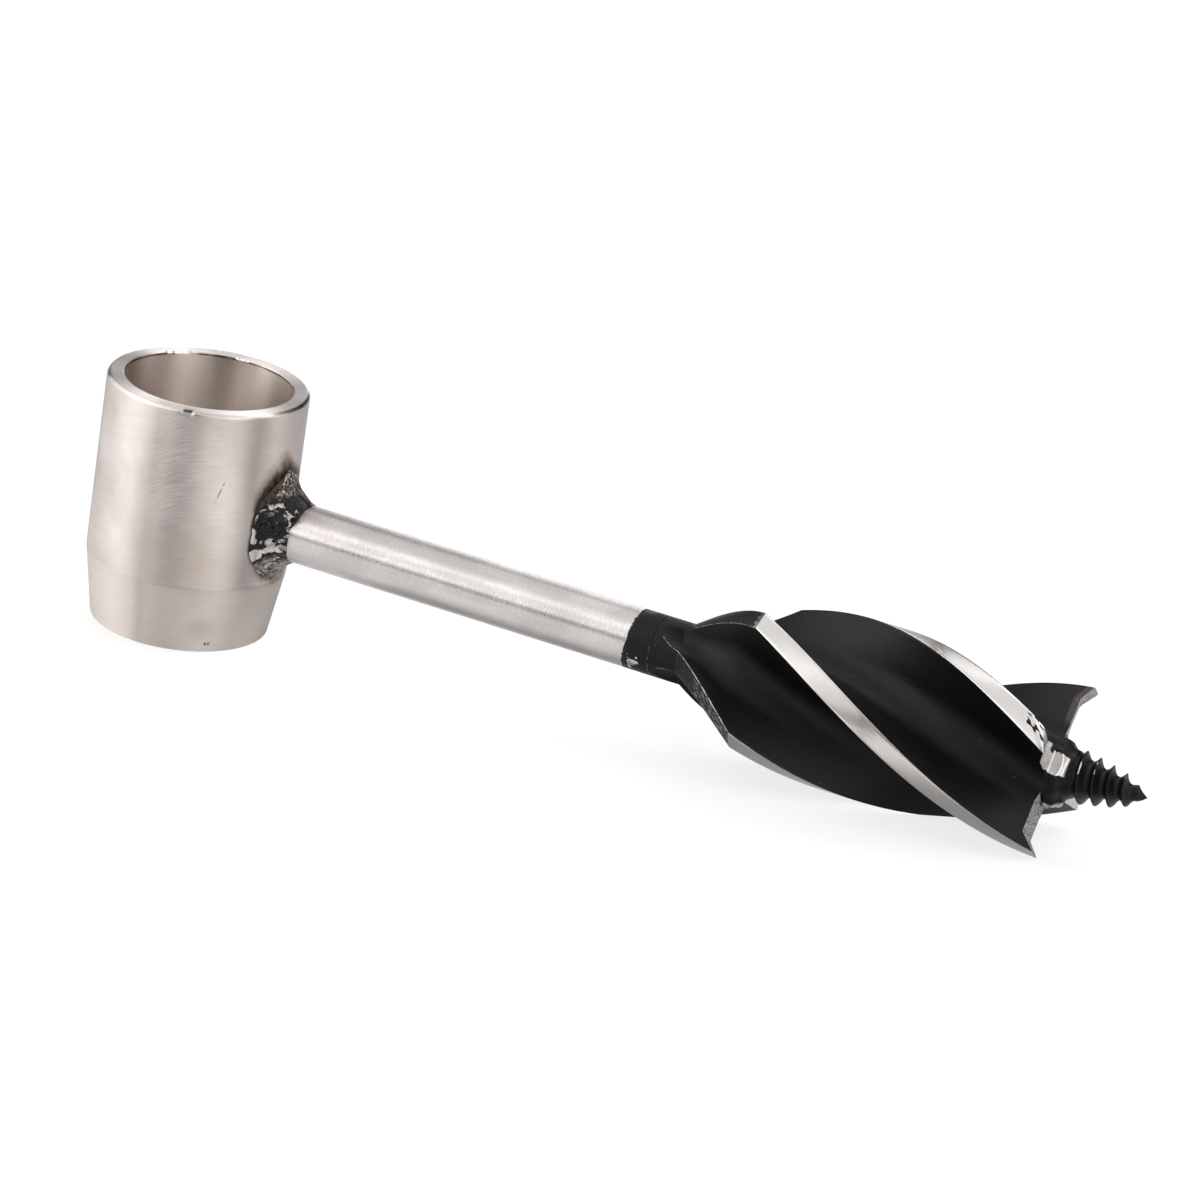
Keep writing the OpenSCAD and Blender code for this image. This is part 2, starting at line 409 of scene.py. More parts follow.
def eye_steel():
    """Turned steel with fine rings, hand-sanded patches, pits, heat colours beside the weld, a painted
    shadow line under the bore's upper edge and a painted highlight on the faced top.
    """
    f = Finish("eye_finish")
    rings = f.step(f.noise((5, 5, 0.22), detail=3), 0.34, 0.66)
    fine = f.step(f.noise((4, 4, 0.11), detail=1), 0.34, 0.66)
    lines = f.plus(f.times(rings, 0.22), f.times(fine, 0.36))
    cloud = f.step(f.noise((11, 11, 14), detail=3), 0.35, 0.65)
    unrolled = f.attribute("unrolled", "Vector")
    taper, inner, faced, edge = (f.attribute(name) for name in ("taper", "inner", "faced", "edge"))
    hatch = f.step(f.noise((4, 0.15, 1), f.attribute("sweep", "Vector"), detail=0), 0.38, 0.62)
    sanded = f.times(f.attribute("sanded"), f.step(f.noise((4, 5, 1), unrolled), 0.05, 0.4), hatch)
    smoke = f.times(f.attribute("scorch"), f.between(f.noise((0.7, 0.7, 1.1), detail=4), 0.45, 1.55))
    warm = f.times(f.attribute("warm"), f.between(f.noise((1.2, 0.35, 1), unrolled, detail=4), 0.3, 1.4))
    pits = f.times(f.dots(2.6, 0.03, 0.055), f.step(f.noise((7, 7, 7)), 0.5, 0.66))
    # Pits, scratch and the mark attribute, which holds the nick, the pits and the painted shadow line under
    # the bore's edge
    marks_and_lip_shadow = f.math("MAXIMUM", f.times(pits, 0.8), f.attribute("mark"), f.streak(unrolled, *SCRATCH))
    steel = f.layers(
        f.colour(cloud, SHADED_STEEL, CLEAN_STEEL), (taper, TAPER_STEEL), (inner, BORE_STEEL),
        (faced, FACED_HIGHLIGHT_STEEL), (warm, WARM_STEEL), (f.times(lines, 0.26), LINE_STEEL),
        (f.times(sanded, 0.48), LINE_STEEL), (f.step(smoke, 0.05, 0.42), STRAW),
        (f.step(smoke, 0.28, 0.72), HEAT_BROWN), (f.step(smoke, 0.7, 1.15), SCALE_BLACK), (marks_and_lip_shadow, PIT_AND_SHADOW_DARK))
    gloss = f.between(lines, 0.44, 0.56)
    for share, rough in ((taper, 0.84), (inner, 0.35), (faced, 0.5), (edge, 0.24)):
        gloss = f.between(share, gloss, rough)
    f.set(Base_Color=steel, Metallic=1.0, Roughness=f.between(f.step(smoke, 0.3, 0.8), gloss, 0.5),
          Normal=f.bump(lines, 0.01, f.bump(sanded, 0.012, f.bump(f.times(pits, -1.0), 0.04))),
          **f.brushed("Z", 0.93))
    return f.material


def bar_steel():
    """Drawn bar with short cross-brushed strokes and black paint lapping over its end."""
    f = Finish("bar_finish")
    strokes = f.step(f.noise((0.16, 0.8, 0.8), detail=4), 0.3, 0.7)
    along = f.step(f.noise((16, 0.8, 0.8), detail=2), 0.5, 0.75)
    cloud = f.step(f.noise((9, 5, 5), detail=3), 0.35, 0.65)
    specks = f.times(f.dots(1.9, 0.04, 0.075), f.step(f.noise((6, 4, 4)), 0.48, 0.6))
    place = f.add("SeparateXYZ", {0: f.object}).outputs
    ragged = f.between(f.noise((0.5, 0.5, 0.5), detail=3), 0.7 * MM, -0.3 * MM)
    slant = f.times(place[2], -0.5 * PAINT_SLANT / BAR_R)
    edge = (GROOVE_X0 + 0.5 * PAINT_SLANT) * MM
    paint = f.step(f.plus(place[0], ragged, slant), edge - 0.02 * MM, edge + 0.04 * MM)
    smoke = f.times(f.attribute("scorch"), f.between(f.noise((0.6, 0.6, 0.6), detail=4), 0.3, 1.6))
    steel = f.layers(
        f.colour(cloud, BAR_SHADED, BAR_CLEAN), (f.times(strokes, 0.26), BAR_STROKE),
        (f.times(along, 0.25), BAR_LINE), (f.times(specks, 0.6), BAR_SPECK),
        (f.step(smoke, 0.15, 0.7), BAR_STRAW), (f.step(smoke, 0.5, 1.0), HEAT_BROWN), (paint, PAINT_BLACK))
    f.set(Base_Color=steel, Metallic=f.rest(paint), Roughness=f.between(strokes, 0.26, 0.36),
          Specular_IOR_Level=0.3, Normal=f.bump(strokes, 0.006, f.bump(paint, 0.05)), **f.brushed("X", 0.4))
    return f.material


def weld_metal():
    """As-welded metal: glassy black slag, grey and brown oxide, and bright lips and drops."""
    f = Finish("weld_finish")
    grit = f.noise((0.36, 0.36, 0.36), detail=5, roughness=0.6)
    patch = f.step(f.noise((1.0, 1.0, 1.0), detail=3), 0.36, 0.64)
    flakes = f.times(f.math("SUBTRACT", grit, 0.5), f.between(f.attribute("flaky"), 0.35, 1.5))
    tone = f.plus(f.attribute("shine"), flakes)
    oxide = f.step(tone, 0.14, 0.4)
    bright = f.step(tone, 0.52, 0.66)
    smoke = f.times(f.attribute("scorch"), f.between(grit, 0.5, 1.5))
    body = f.colour(oxide, SCALE_BLACK, f.colour(patch, OXIDE_BROWN, OXIDE_GREY))
    slag_gloss = f.between(patch, 0.14, 0.36)
    metal_gloss = f.between(bright, 0.42, f.between(grit, 0.32, 0.48))
    f.set(Base_Color=f.layers(body, (bright, WELD_BRIGHT), (f.step(smoke, 0.3, 0.8), HEAT_BROWN)),
          Metallic=f.times(oxide, f.between(bright, 1.0, 0.6)),
          Roughness=f.between(oxide, slag_gloss, metal_gloss), Specular_IOR_Level=0.24,
          Normal=f.bump(f.times(grit, f.between(bright, 1.0, 0.25)), 0.05, f.bump(patch, 0.03)))
    return f.material


def black_paint():
    """Black paint, worn to bare steel where the attribute bare is high and rough where ends is."""
    f = Finish("paint_finish")
    flute = f.attribute("flute", "Vector")
    ends, stained = f.attribute("ends"), f.attribute("stain")
    ragged = f.noise((0.9, 0.35, 1), flute, detail=4, roughness=0.6)
    ragged = f.times(f.math("SUBTRACT", ragged, 0.5), 0.9)
    bare = f.step(f.plus(f.attribute("bare"), ragged), 0.46, 0.56)
    grind = f.noise((0.1, 2.5, 1), flute, detail=3)
    grain = f.noise((0.22, 0.22, 0.22), detail=5, roughness=0.7)
    cloud = f.noise((3.2, 2.2, 1), flute, detail=4)
    streaks = f.step(f.noise((5, 0.2, 1), flute, detail=4), 0.38, 0.66)
    scuffs = f.step(f.noise((0.16, 1.6, 1), flute, detail=5, roughness=0.7), 0.52, 0.7)
    stain = f.times(stained, f.between(f.noise((1.8, 0.45, 1), flute, detail=5), 0.1, 1.5))
    peel = f.noise((0.7, 0.7, 0.7), detail=3)
    dust = f.noise((0.28, 0.28, 0.28), detail=4, roughness=0.7)
    specks = f.dots(0.62, 0.06, 0.13)
    flecks = f.times(f.dots(2.1, 0.035, 0.06), f.step(f.noise((4, 4, 4)), 0.5, 0.62))
    cast = f.times(f.attribute("cast"), f.step(f.spots(0.75), 0.0, 0.42))
    rough_end = f.colour(f.step(grain, 0.4, 0.6), END_PIT, END_STEEL)
    steel = f.layers(
        f.colour(cloud, DULL_STEEL, GROUND_STEEL), (f.times(grind, 0.3), GRIND_STEEL),
        (f.step(stain, 0.2, 1.0), STAINED_STEEL), (ends, rough_end))
    paint = f.layers(
        f.colour(f.step(dust, 0.5, 0.75), PAINT_BLACK, PAINT_DUSTY), (f.times(streaks, 0.35), PAINT_STREAK),
        (f.times(stained, scuffs), PAINT_SCUFF),
        (f.step(f.attribute("brown"), 0.2, 0.8), f.colour(grain, BROWN_DARK, RUBBED)),
        (f.times(specks, 0.3), PAINT_SPECK), (f.times(flecks, 0.75), PAINT_FLECK))
    height = f.plus(f.times(peel, 0.5), f.times(dust, 0.36), f.times(streaks, 0.22), f.times(cast, -1.2))
    height = f.between(bare, height, f.between(ends, f.times(grind, 0.25), grain))
    metal_gloss = f.between(ends, f.between(grind, 0.24, 0.36), 0.55)
    f.set(Base_Color=f.colour(bare, paint, steel), Metallic=f.times(bare, f.between(ends, 1.0, 0.6)),
          Roughness=f.between(bare, f.between(dust, 0.33, 0.47), metal_gloss),
          Specular_IOR_Level=0.22, Normal=f.bump(height, 0.03))
    return f.material


# Ring eye

EYE_COLS = 480
# Nick in the rim: angle, half width, depth inward and downward
NICK_ANGLE = -73.0
NICK_HALF = 0.85
NICK_IN, NICK_DOWN = 0.42, 0.22
# Pits, as (angle, height)
PITS = ((-44.6, -19.4), (-42.6, -19.4))
# Burrs on the bore's upper edge, as (angle, half width, depth)
RIM_BURRS = ((147.5, 0.5, 0.26), (141, 0.9, 0.34), (135, 0.6, 0.26), (97.5, 0.7, 0.32), (93, 0.4, 0.26))

# Toes of the eye weld by angle about the bar, as (angle, radius on the eye, station on the bar)
WELD_TOES = ((0, 8.3, 20.6), (45, 8.6, 21.0), (80, 9.2, 21.4), (92, 10.3, 21.5), (104, 9.3, 21.3),
             (121, 8.9, 21.1), (139, 8.7, 21.2), (156, 8.0, 20.4), (178, 7.4, 20.4), (203, 8.1, 20.3),
             (222, 8.3, 20.0), (245, 9.0, 20.0), (270, 8.9, 20.4), (315, 8.5, 20.6), (360, 8.3, 20.6))
# Scorch on the eye beside the weld, as (angle about the bar, width, amount), and its plume upward
SCORCH = ((0, 0.8, 0.8), (80, 1.3, 1.1), (112, 2.2, 1.2), (136, 1.3, 0.95), (156, 0.35, 0.7),
          (205, 0.22, 0.6), (225, 0.7, 0.34), (265, 1.2, 0.4), (300, 0.8, 0.7), (360, 0.8, 0.8))
PLUME_ANGLE = 99
PLUME_FROM, PLUME_TO = 9.0, 16.5
PLUME_W = 2.0
PLUME_DARK = 0.8

# Patches of the eye that are hand-sanded or tinted, as (angle, height, half angle, half height, amount)
SANDED = ((-76, 10, 15, 12, 1.0), (20, -6, 30, 12, 0.8), (105, 6, 34, 14, 0.9), (178, -2, 26, 16, 0.8))
WARM = ((-88, 0, 4, 40, 0.45), (-56, -4, 8, 8, 0.55), (-50, -16.5, 8, 1.8, 0.6), (-32, 11, 7, 7, 0.3),
        (38, 2, 7, 30, 0.4), (150, -4, 9, 26, 0.4))
# The sanding strokes are level at this angle past a patch's middle, and bend over this span before it
STROKE_LEVEL = 17
STROKE_SPAN = 6.0
STROKE_BEND = 0.049


def weld_toe(angle, column):
    """Radius on the eye (1) or station on the bar (2) of the weld's toe, by angle about the bar."""
    table = np.array(WELD_TOES, float)
    return np.interp(np.mod(angle, 360), table[:, 0], table[:, column])


def scorch_on_eye(points):
    """Heat colour on the eye: a band along the weld's toe and a plume above it."""
    rho, angle = polar(points)
    past = np.clip(rho - weld_toe(angle, 1), 0, None)
    at, width, amount = np.array(SCORCH, float).T
    band = np.interp(angle, at, amount) * hump(past, np.interp(angle, at, width), 1.3)
    side = rho * np.radians(angle - PLUME_ANGLE)
    plume = PLUME_DARK * smooth(PLUME_TO, PLUME_FROM, rho) * hump(side, PLUME_W)
    return np.where(points[..., 0] > 0, np.maximum(band, plume), 0)


def patches(theta, z, table):
    """Amount of the strongest patch at each point, softened at its border."""
    found = np.zeros(z.shape)
    for angle, height, half_angle, half_height, amount in table:
        d = np.hypot((theta - angle)[None, :] / half_angle, (z - height) / half_height)
        found = np.maximum(found, amount * hump(d, 1))
    return found


def stroke_lines(theta, z):
    """Places along and across the sanding strokes of the nearest sanded patch."""
    off = theta[:, None] - np.array([patch[0] for patch in SANDED])
    off = np.take_along_axis(off, np.abs(off).argmin(axis=1)[:, None], axis=1)[:, 0]
    before = np.clip(STROKE_LEVEL - off, 0, None) * np.radians(EYE_R)
    bent = np.minimum(before, STROKE_SPAN)
    return flat(theta * np.radians(EYE_R), z + STROKE_BEND * bent * (2 * before - bent))


def eye_profile():
    """Section of the ring as radius and height, up its outside and down its bore."""
    foot, rim = BORE_R + TAPER_EDGE, EYE_R - RIM_CHAMFER
    low, top = EYE_BOTTOM, EYE_TOP
    return path(
        (foot - 0.16, low), ((foot - 0.03, low + 0.05), 2), ((foot + 0.05, low + 0.3), 2),
        ((EYE_R - 0.06, low + TAPER_L - 0.45), 26), ((EYE_R, low + TAPER_L + 0.5), 3),
        ((EYE_R, top - RIM_CHAMFER - 0.12), 74), ((EYE_R - 0.06, top - RIM_CHAMFER + 0.02), 2),
        ((rim + 0.02, top - 0.06), 4), ((rim - 0.12, top), 2), ((BORE_R + 0.2, top), 6),
        ((BORE_R + 0.06, top - 0.05), 2), ((BORE_R, top - 0.22), 2), ((BORE_R, top - 0.7), 4),
        ((BORE_R, low + 0.2), 40), ((BORE_R + 0.06, low + 0.05), 2), ((BORE_R + 0.2, low), 2))


def make_eye(material):
    theta = np.linspace(-180, 180, EYE_COLS, endpoint=False)
    r, z = (np.repeat(column[:, None], EYE_COLS, axis=1) for column in eye_profile().T)
    top, per_degree = EYE_TOP, np.radians(EYE_R)
    nick = hump((theta - NICK_ANGLE) * per_degree, NICK_HALF, 4) * (0.75 + 0.25 * np.sin(theta * 9))
    nick = nick * smooth(top - 1.2, top - 0.2, z) * smooth(EYE_R - 1.1, EYE_R - 0.45, r)
    r -= NICK_IN * nick
    z -= NICK_DOWN * nick
    lip = smooth(top - 0.4, top - 0.05, z) * smooth(BORE_R + 0.45, BORE_R + 0.1, r)
    burr = np.zeros(z.shape)
    for angle, width, depth in RIM_BURRS:
        spread = hump((theta - angle) * np.radians(BORE_R), width, 4)
        burr = np.maximum(burr, depth * lip * spread * (0.8 + 0.2 * np.sin(theta * 5)))
    inner = smooth(BORE_R + 0.3, BORE_R + 0.05, r) * smooth(top, top - 0.3, z)
    # A thin band just under the bore's upper edge, darkened further on as a painted shadow line
    lip_shadow = span(z, top - 0.52, top - 0.38, top - 0.22, top - 0.1) * inner
    z = z - burr
    r = r + 0.8 * burr
    points = np.stack([r * np.cos(np.radians(theta)), r * np.sin(np.radians(theta)), z], axis=-1)
    outside = (r > BORE_R + 0.6).astype(float)
    unrolled = flat(theta * per_degree, z)
    mark = np.clip(1.7 * nick * smooth(top - 0.6, top - 0.3, z), 0, 1)
    for angle, height in PITS:
        off = np.linalg.norm(unrolled - (angle * per_degree, height, 0), axis=-1)
        mark = np.maximum(mark, smooth(0.28, 0.1, off) * outside)
    # Painted shadow: the thin band under the bore's upper edge gets the dark mark colour, broken by noise
    # and kept off the burrs
    mark = np.maximum(mark, lip_shadow * smooth(-0.6, -0.1, wobble(points, 2.2, 4.0)) * (burr < 0.02))
    # The rim's flat top, and further on the burr faces, take the faced colour: their own finish, painted
    # brighter as a painted highlight
    faced = smooth(top - 0.04, top - 0.01, z)
    edge = (1 - faced) * (1 - inner) * smooth(top - RIM_CHAMFER - 0.15, top - RIM_CHAMFER, z)
    taper = smooth(EYE_BOTTOM + TAPER_L + 0.15, EYE_BOTTOM + TAPER_L - 0.25, z) * outside
    # mark holds the nick, the pits and the painted shadow line under the bore's edge
    piece("ring_eye", points, grid_faces(*z.shape, wrap_rows=True), material, "eye_steel", "eye_socket",
          scorch=scorch_on_eye(points) * outside, mark=mark, inner=inner, edge=edge, taper=taper,
          faced=np.maximum(faced, smooth(0.03, 0.08, burr)), sanded=patches(theta, z, SANDED) * outside,
          sweep=stroke_lines(theta, z), warm=patches(theta, z, WARM) * outside, unrolled=unrolled)


# Bar and neck weld

BAR_COLS = 160
# The bright bar runs a little way over the dressed weld, where the paint's edge lies
BAR_LAP = 1.0
BAR_LAP_H = 0.006
# The paint's edge lies farther from the eye on top than below, by this much
PAINT_SLANT = 0.85
# Angles between which heat has blued the bar, with the soft borders of that stretch
BLUED = (72, 95, 140, 178)
# Paint chips at the neck, as (station, angle, half length, half width, amount)
CHIPS = ((81.8, 192, 0.5, 0.6, 0.8), (83.2, 206, 1.2, 0.7, 0.75), (82.2, 209, 2.0, 1.5, 0.58),
         (83.6, 194, 0.3, 0.5, 0.62), (81.6, 222, 1.6, 1.8, 0.62))
# Angles between which the ring line on the neck is worn, with the soft borders of that stretch
RING_LINE = (148, 163, 240, 255)
# Lathe lines on the neck
TURNED_STEP = 0.42
TURNED_H = 0.028


def saddle(y):
    """Station of the coped end, on the outside of the eye."""
    return np.sqrt((EYE_R + ROOT_GAP) ** 2 - y * y)


def make_bar(material):
    angle = np.linspace(0, 360, BAR_COLS, endpoint=False)
    y = BAR_R * np.cos(np.radians(angle))
    rows = [on_rings(saddle(share * y), BAR_R * share, angle) for share in path(0.02, (0.97, 5), (1.0, 1))]
    start, end = saddle(y), GROOVE_X0 + BAR_LAP
    for share in path(0.0, (0.97, 88), (1.0, 8))[1:]:
        x = start + (end - start) * share
        rows.append(on_rings(x, BAR_R + BAR_LAP_H * smooth(GROOVE_X0 - 0.4, GROOVE_X0, x), angle))
    rows += [on_rings(x, r, angle) for x, r in path((end, BAR_R - 0.1), ((JOINT_X, GROOVE_ROOT_R), 3))]
    points = np.array(rows)
    past = np.clip(points[..., 0] - weld_toe(angle, 2), 0, None)
    blued = span(angle, *BLUED)
    scorch = (0.6 + 0.1 * blued) * np.exp(-past / (0.22 + 1.0 * blued))
    shape = points.shape[:2]
    piece("round_bar", points, grid_faces(*shape) + end_caps(*shape), material, "bar_steel", "shank",
          scorch=scorch)


def make_neck(material):
    """Groove weld between bar and bit, dressed round and painted, with chips at its edge."""
    angle = np.linspace(0, 360, BAR_COLS, endpoint=False)
    section = path((GROOVE_ROOT_R, JOINT_X), ((BAR_R - 0.02, GROOVE_X0), 4), ((BAR_R, GROOVE_X0 + 0.05), 1),
                   ((BAR_R, JOINT_X), 20), ((BAR_R, GROOVE_X1 - 0.1), 30), ((BAR_R, GROOVE_X1), 2),
                   ((GROOVE_ROOT_R, JOINT_X), 4))[:-1]
    points = on_rings(section[:, 1:], section[:, :1], angle)
    x = points[..., 0]
    outer = smooth(BAR_R - 0.5, BAR_R - 0.1, section[:, :1])
    turned = TURNED_H * np.sin(2 * np.pi * x / TURNED_STEP) * smooth(JOINT_X, JOINT_X + 0.6, x)
    painted = span(x, GROOVE_X0 + BAR_LAP, GROOVE_X0 + BAR_LAP + 0.4, GROOVE_X1 - 0.1, GROOVE_X1)
    uneven = outer * painted * (0.03 * wobble(points, 1.6) + turned)
    bare = 0.48 * span(angle, *RING_LINE) * smooth(GROOVE_X1 - 0.16, GROOVE_X1 - 0.1, x)
    for station, at, length, width, amount in CHIPS:
        d = np.hypot((x - station) / length, BAR_R * np.radians(angle - at) / width)
        bare = np.maximum(bare, amount * hump(d, 1))
    piece("neck_weld", points + around(angle) * uneven[..., None], grid_faces(*x.shape, wrap_rows=True),
          material, "bit_black", "groove_weld", bare=bare, flute=flat(x, angle * np.radians(BAR_R)))


# Twisted bit

WALL_N = 26
LAND_N = 8
EDGE_SOFT = 0.12
# Share of land that marks the corners of the lands
CORNER = 0.62
# Where the flutes run out in the neck, over what length, how deep they start and how far they rise
RUNOUT_X, RUNOUT_END = 86.4, 101.0
RUNOUT_L = 3.6
RUNOUT_DIP = 1.15
RUNOUT_RISE_L = 9
# The wings in order round the bit, and the angles by which they stand off even quarters
CUTTER_A, WING_C, CUTTER_D, WING_B = range(WINGS)
WING_TRIM = (0.0, -1.2, -0.5, 0.4)
WING_MARK = 7.0
HALF_STEP = math.radians(180 / WINGS)
# Wing ends: length that they shape, set-back of C and of its root, sweep of B
FRONT_L = 3.5
LONG_BACK = 0.6
ROOT_BACK = 3.2
ROOT_L = 5.0
SWEPT_R = 6.5
SWEPT_RELIEF = 24
# Bevel on the end of B's land, and the paint smeared over that land
BEVEL_X = 150.2
BEVEL_L = 3.4
BEVEL_H = 1.2
SMEAR_X = 149.6
SMEAR_ON_END = 0.2
# Ground ends of the four wings: roughness, share of coarse grain and share of bare steel
END_ROUGH = (0.07, 0.34, 0.07, 0.2)
END_GRAIN = (1.0, 0.35, 1.0, 0.4)
END_BARE = (0.86, 0.7, 0.86, 0.75)
# Bare strip at the root of the nose between A and C: length and share of bare steel
STRIP_L = 1.7
STRIP_BARE = 0.62
# Nose as (station, radius), and the web that joins it to the wings
NOSE_LINE = ((REACH + 0.12, 4.86), (154.6, 4.78), (155.5, 4.05), (NOSE_X, 3.85))
NOSE_WEB = 0.35
NOSE_MOST_R = CORE_R + 0.45
# Flat ground across the nose: stations, middle angle, half angle and distance from the axis
SCAR_X = (151.8, 155.7)
SCAR_ANGLE, SCAR_HALF = 146.5, 20.5
SCAR_R = 4.5
# Hollow of the nose between A and C: its angles, soft border, stations of its end and depth as a share
HOLLOW = (236, 318)
HOLLOW_SOFT = 14
HOLLOW_END = (154.4, 155.4)
HOLLOW_DEEP = 0.15
# Bare rib along the nose beside the hollow: its angles at two stations, half angle and height
RIB_X = (REACH, 155.9)
RIB_ANGLE = (234, 252)
RIB_HALF = 13
RIB_H = 1.2
RIB_BARE = 0.8
RIB_GRAIN = 0.35
# Shoulders of the four wings: stations up to which they keep their paint, and wear of their edges
PAINTED_TO = (LAND_X - 0.3, 95.0, 99.5, LAND_X - 0.6)
WORN_EDGE = (0.62, 0.68, 0.5, 0.5)
WORN_LAND_EDGE = 0.5
# Share of the paint that is rubbed off C's shoulder past there, and least wear of any land
SHOULDER_WORN = 0.3
LAND_WORN = 0.24
# Stains on the lands, as (wing, station, half length, amount), and the one that fades along C
STAINS = ((CUTTER_A, 126, 3.2, 0.55), (WING_B, 131, 4, 0.8))
C_STAIN_X = (112, 96)
SCAR_STAIN = 0.4
# Rough cast patch in a flute beside A: station and half length
CAST_X, CAST_L = 117.5, 5


class Flute:
    """Profile of a flute with a round floor at the radius core, beside a wing along the first axis."""

    def __init__(self, core):
        self.r = (core * math.sin(HALF_STEP) - WING_HALF) / (1 - math.sin(HALF_STEP))
        self.centre = core + self.r
        self.arc = self.r * (math.pi / 2 - HALF_STEP)
        self.wall = self.centre * math.cos(HALF_STEP)

    def length(self, r):
        """Distance along the profile at which it reaches the radius r."""
        if r > math.hypot(self.wall, WING_HALF):
            return self.arc + math.sqrt(r * r - WING_HALF ** 2) - self.wall
        return self.r * math.acos((self.centre ** 2 + self.r ** 2 - r * r) / (2 * self.centre * self.r))

    def points(self, s):
        """Points of the profile at distances s."""
        s = np.asarray(s, float)
        a = math.pi + HALF_STEP + np.minimum(s, self.arc) / self.r
        arc = np.stack([self.wall + self.r * np.cos(a), self.wall + self.r * np.sin(a)], axis=-1)
        wall = np.stack([self.wall + s - self.arc, np.full_like(s, WING_HALF)], axis=-1)
        return np.where((s > self.arc)[:, None], wall, arc)


def flute_floor(x):
    """Radius of the flutes' floor: the cutter dips into the neck, then rises to the core."""
    rise = (RUNOUT_DIP - BAR_R + CORE_R) * smooth(RUNOUT_END - RUNOUT_RISE_L, RUNOUT_END, x)
    return BAR_R - max(float(np.clip((x - RUNOUT_X) / RUNOUT_L, 0, 1) * (RUNOUT_DIP - rise)), MM)


def wing_outline(r, core=CORE_R):
    """Outline of one wing out to the radius r, with the distance of each point from the land's middle
    and the share of it that is land."""
    flute = Flute(core)
    s_edge = flute.length(r)
    soft = min(EDGE_SOFT, 0.15 * s_edge)
    s = np.linspace(0, s_edge - soft, WALL_N + 1)
    lead = flute.points(s)
    corner = flute.points([s_edge])[0]
    edge_a = math.atan2(corner[1], corner[0])
    land_a = np.linspace(-1, 1, LAND_N + 1) * (edge_a - soft / r)
    land = r * np.stack([np.cos(land_a), np.sin(land_a)], axis=-1)
    middle = 0.414 * corner + 0.586 * (lead[-1] + land[-1]) / 2
    flip = np.array([1, -1])
    outline = np.vstack([lead * flip, middle * flip, land, middle, lead[:0:-1]])
    half = r * edge_a
    wall = half + s_edge - s
    across = np.concatenate([-wall, [-half], r * land_a, [half], wall[:0:-1]])
    on_land = np.concatenate([0 * s, [CORNER], np.ones(LAND_N + 1), [CORNER], 0 * s[1:]])
    return outline, across, on_land


def shoulder_radius(x):
    """Radius of the shoulder: an arc from the neck up to the full diameter."""
    chord = np.array([LAND_X - SHOULDER_X, BIT_R - BAR_R])
    length = np.linalg.norm(chord)
    drop = math.sqrt(SHOULDER_R ** 2 - (length / 2) ** 2)
    centre = np.array([SHOULDER_X, BAR_R]) + chord / 2 + drop * np.array([chord[1], -chord[0]]) / length
    return centre[1] + math.sqrt(SHOULDER_R ** 2 - (x - centre[0]) ** 2)


def spur_share(r):
    """Share of the spur's height at the radius r."""
    return np.clip((r - BIT_R + SPUR_W) / SPUR_W, 0, None)


def end_station(k, p):
    """Stations at which points p of wing k end: a spurred cutter, or a plain wing that leans forward."""
    r = np.linalg.norm(p, axis=-1)
    behind = WING_HALF - np.clip(p[..., 1], -WING_HALF, WING_HALF)
    clear_of_core = np.clip((r - CORE_R) / WING_HALF, 0, 1)
    if k in (CUTTER_A, CUTTER_D):
        spur = spur_share(r)
        relief = math.tan(math.radians(CUTTER_RELIEF)) * behind * clear_of_core * (1 - spur)
        return REACH + SPUR_H * spur - relief
    leaning = REACH + math.tan(math.radians(PLAIN_LEAN)) * np.clip(r - CORE_R, 0, None)
    if k == WING_C:
        return leaning - LONG_BACK * clear_of_core - ROOT_BACK * smooth(CORE_R + ROOT_L, CORE_R, r)
    swept = np.clip((r - SWEPT_R) / (BIT_R - SWEPT_R), 0, 1)
    slope = swept * math.tan(math.radians(SWEPT_RELIEF)) * behind
    return leaning - (PLAIN_BACK + slope) * clear_of_core


def twisted(k, p, x):
    """Points p of wing k, set at stations x and turned with the twist."""
    a = np.radians(CUTTER_CLOCK + WING_TRIM[k] + 360 * ((x - REACH) / FLUTE_PITCH + k / WINGS))
    cos, sin = np.cos(a), np.sin(a)
    return np.stack([x, p[..., 0] * cos - p[..., 1] * sin, p[..., 0] * sin + p[..., 1] * cos], axis=-1)


class BitRows:
    """Rows of the bit's grid, with what each point is: flute, land or ground end."""

    def __init__(self):
        self.rows = []

    def add(self, outline, across, land, stations, ends=0.0):
        """One row of four wings; stations gives the place along the bar of the outline of wing k."""
        x = [np.broadcast_to(stations(k), across.shape) for k in range(WINGS)]
        points = np.concatenate([twisted(k, outline, x[k]) for k in range(WINGS)])
        mark = np.repeat(WING_MARK * np.arange(WINGS), len(across))
        flute = np.stack([points[:, 0], np.tile(across, WINGS), mark], axis=-1)
        self.rows.append((points, flute, np.tile(land, WINGS), np.full(len(mark), ends)))

    def arrays(self):
        """Points, flute places, shares of land and shares of ground end of all rows."""
        return (np.array(column) for column in zip(*self.rows))


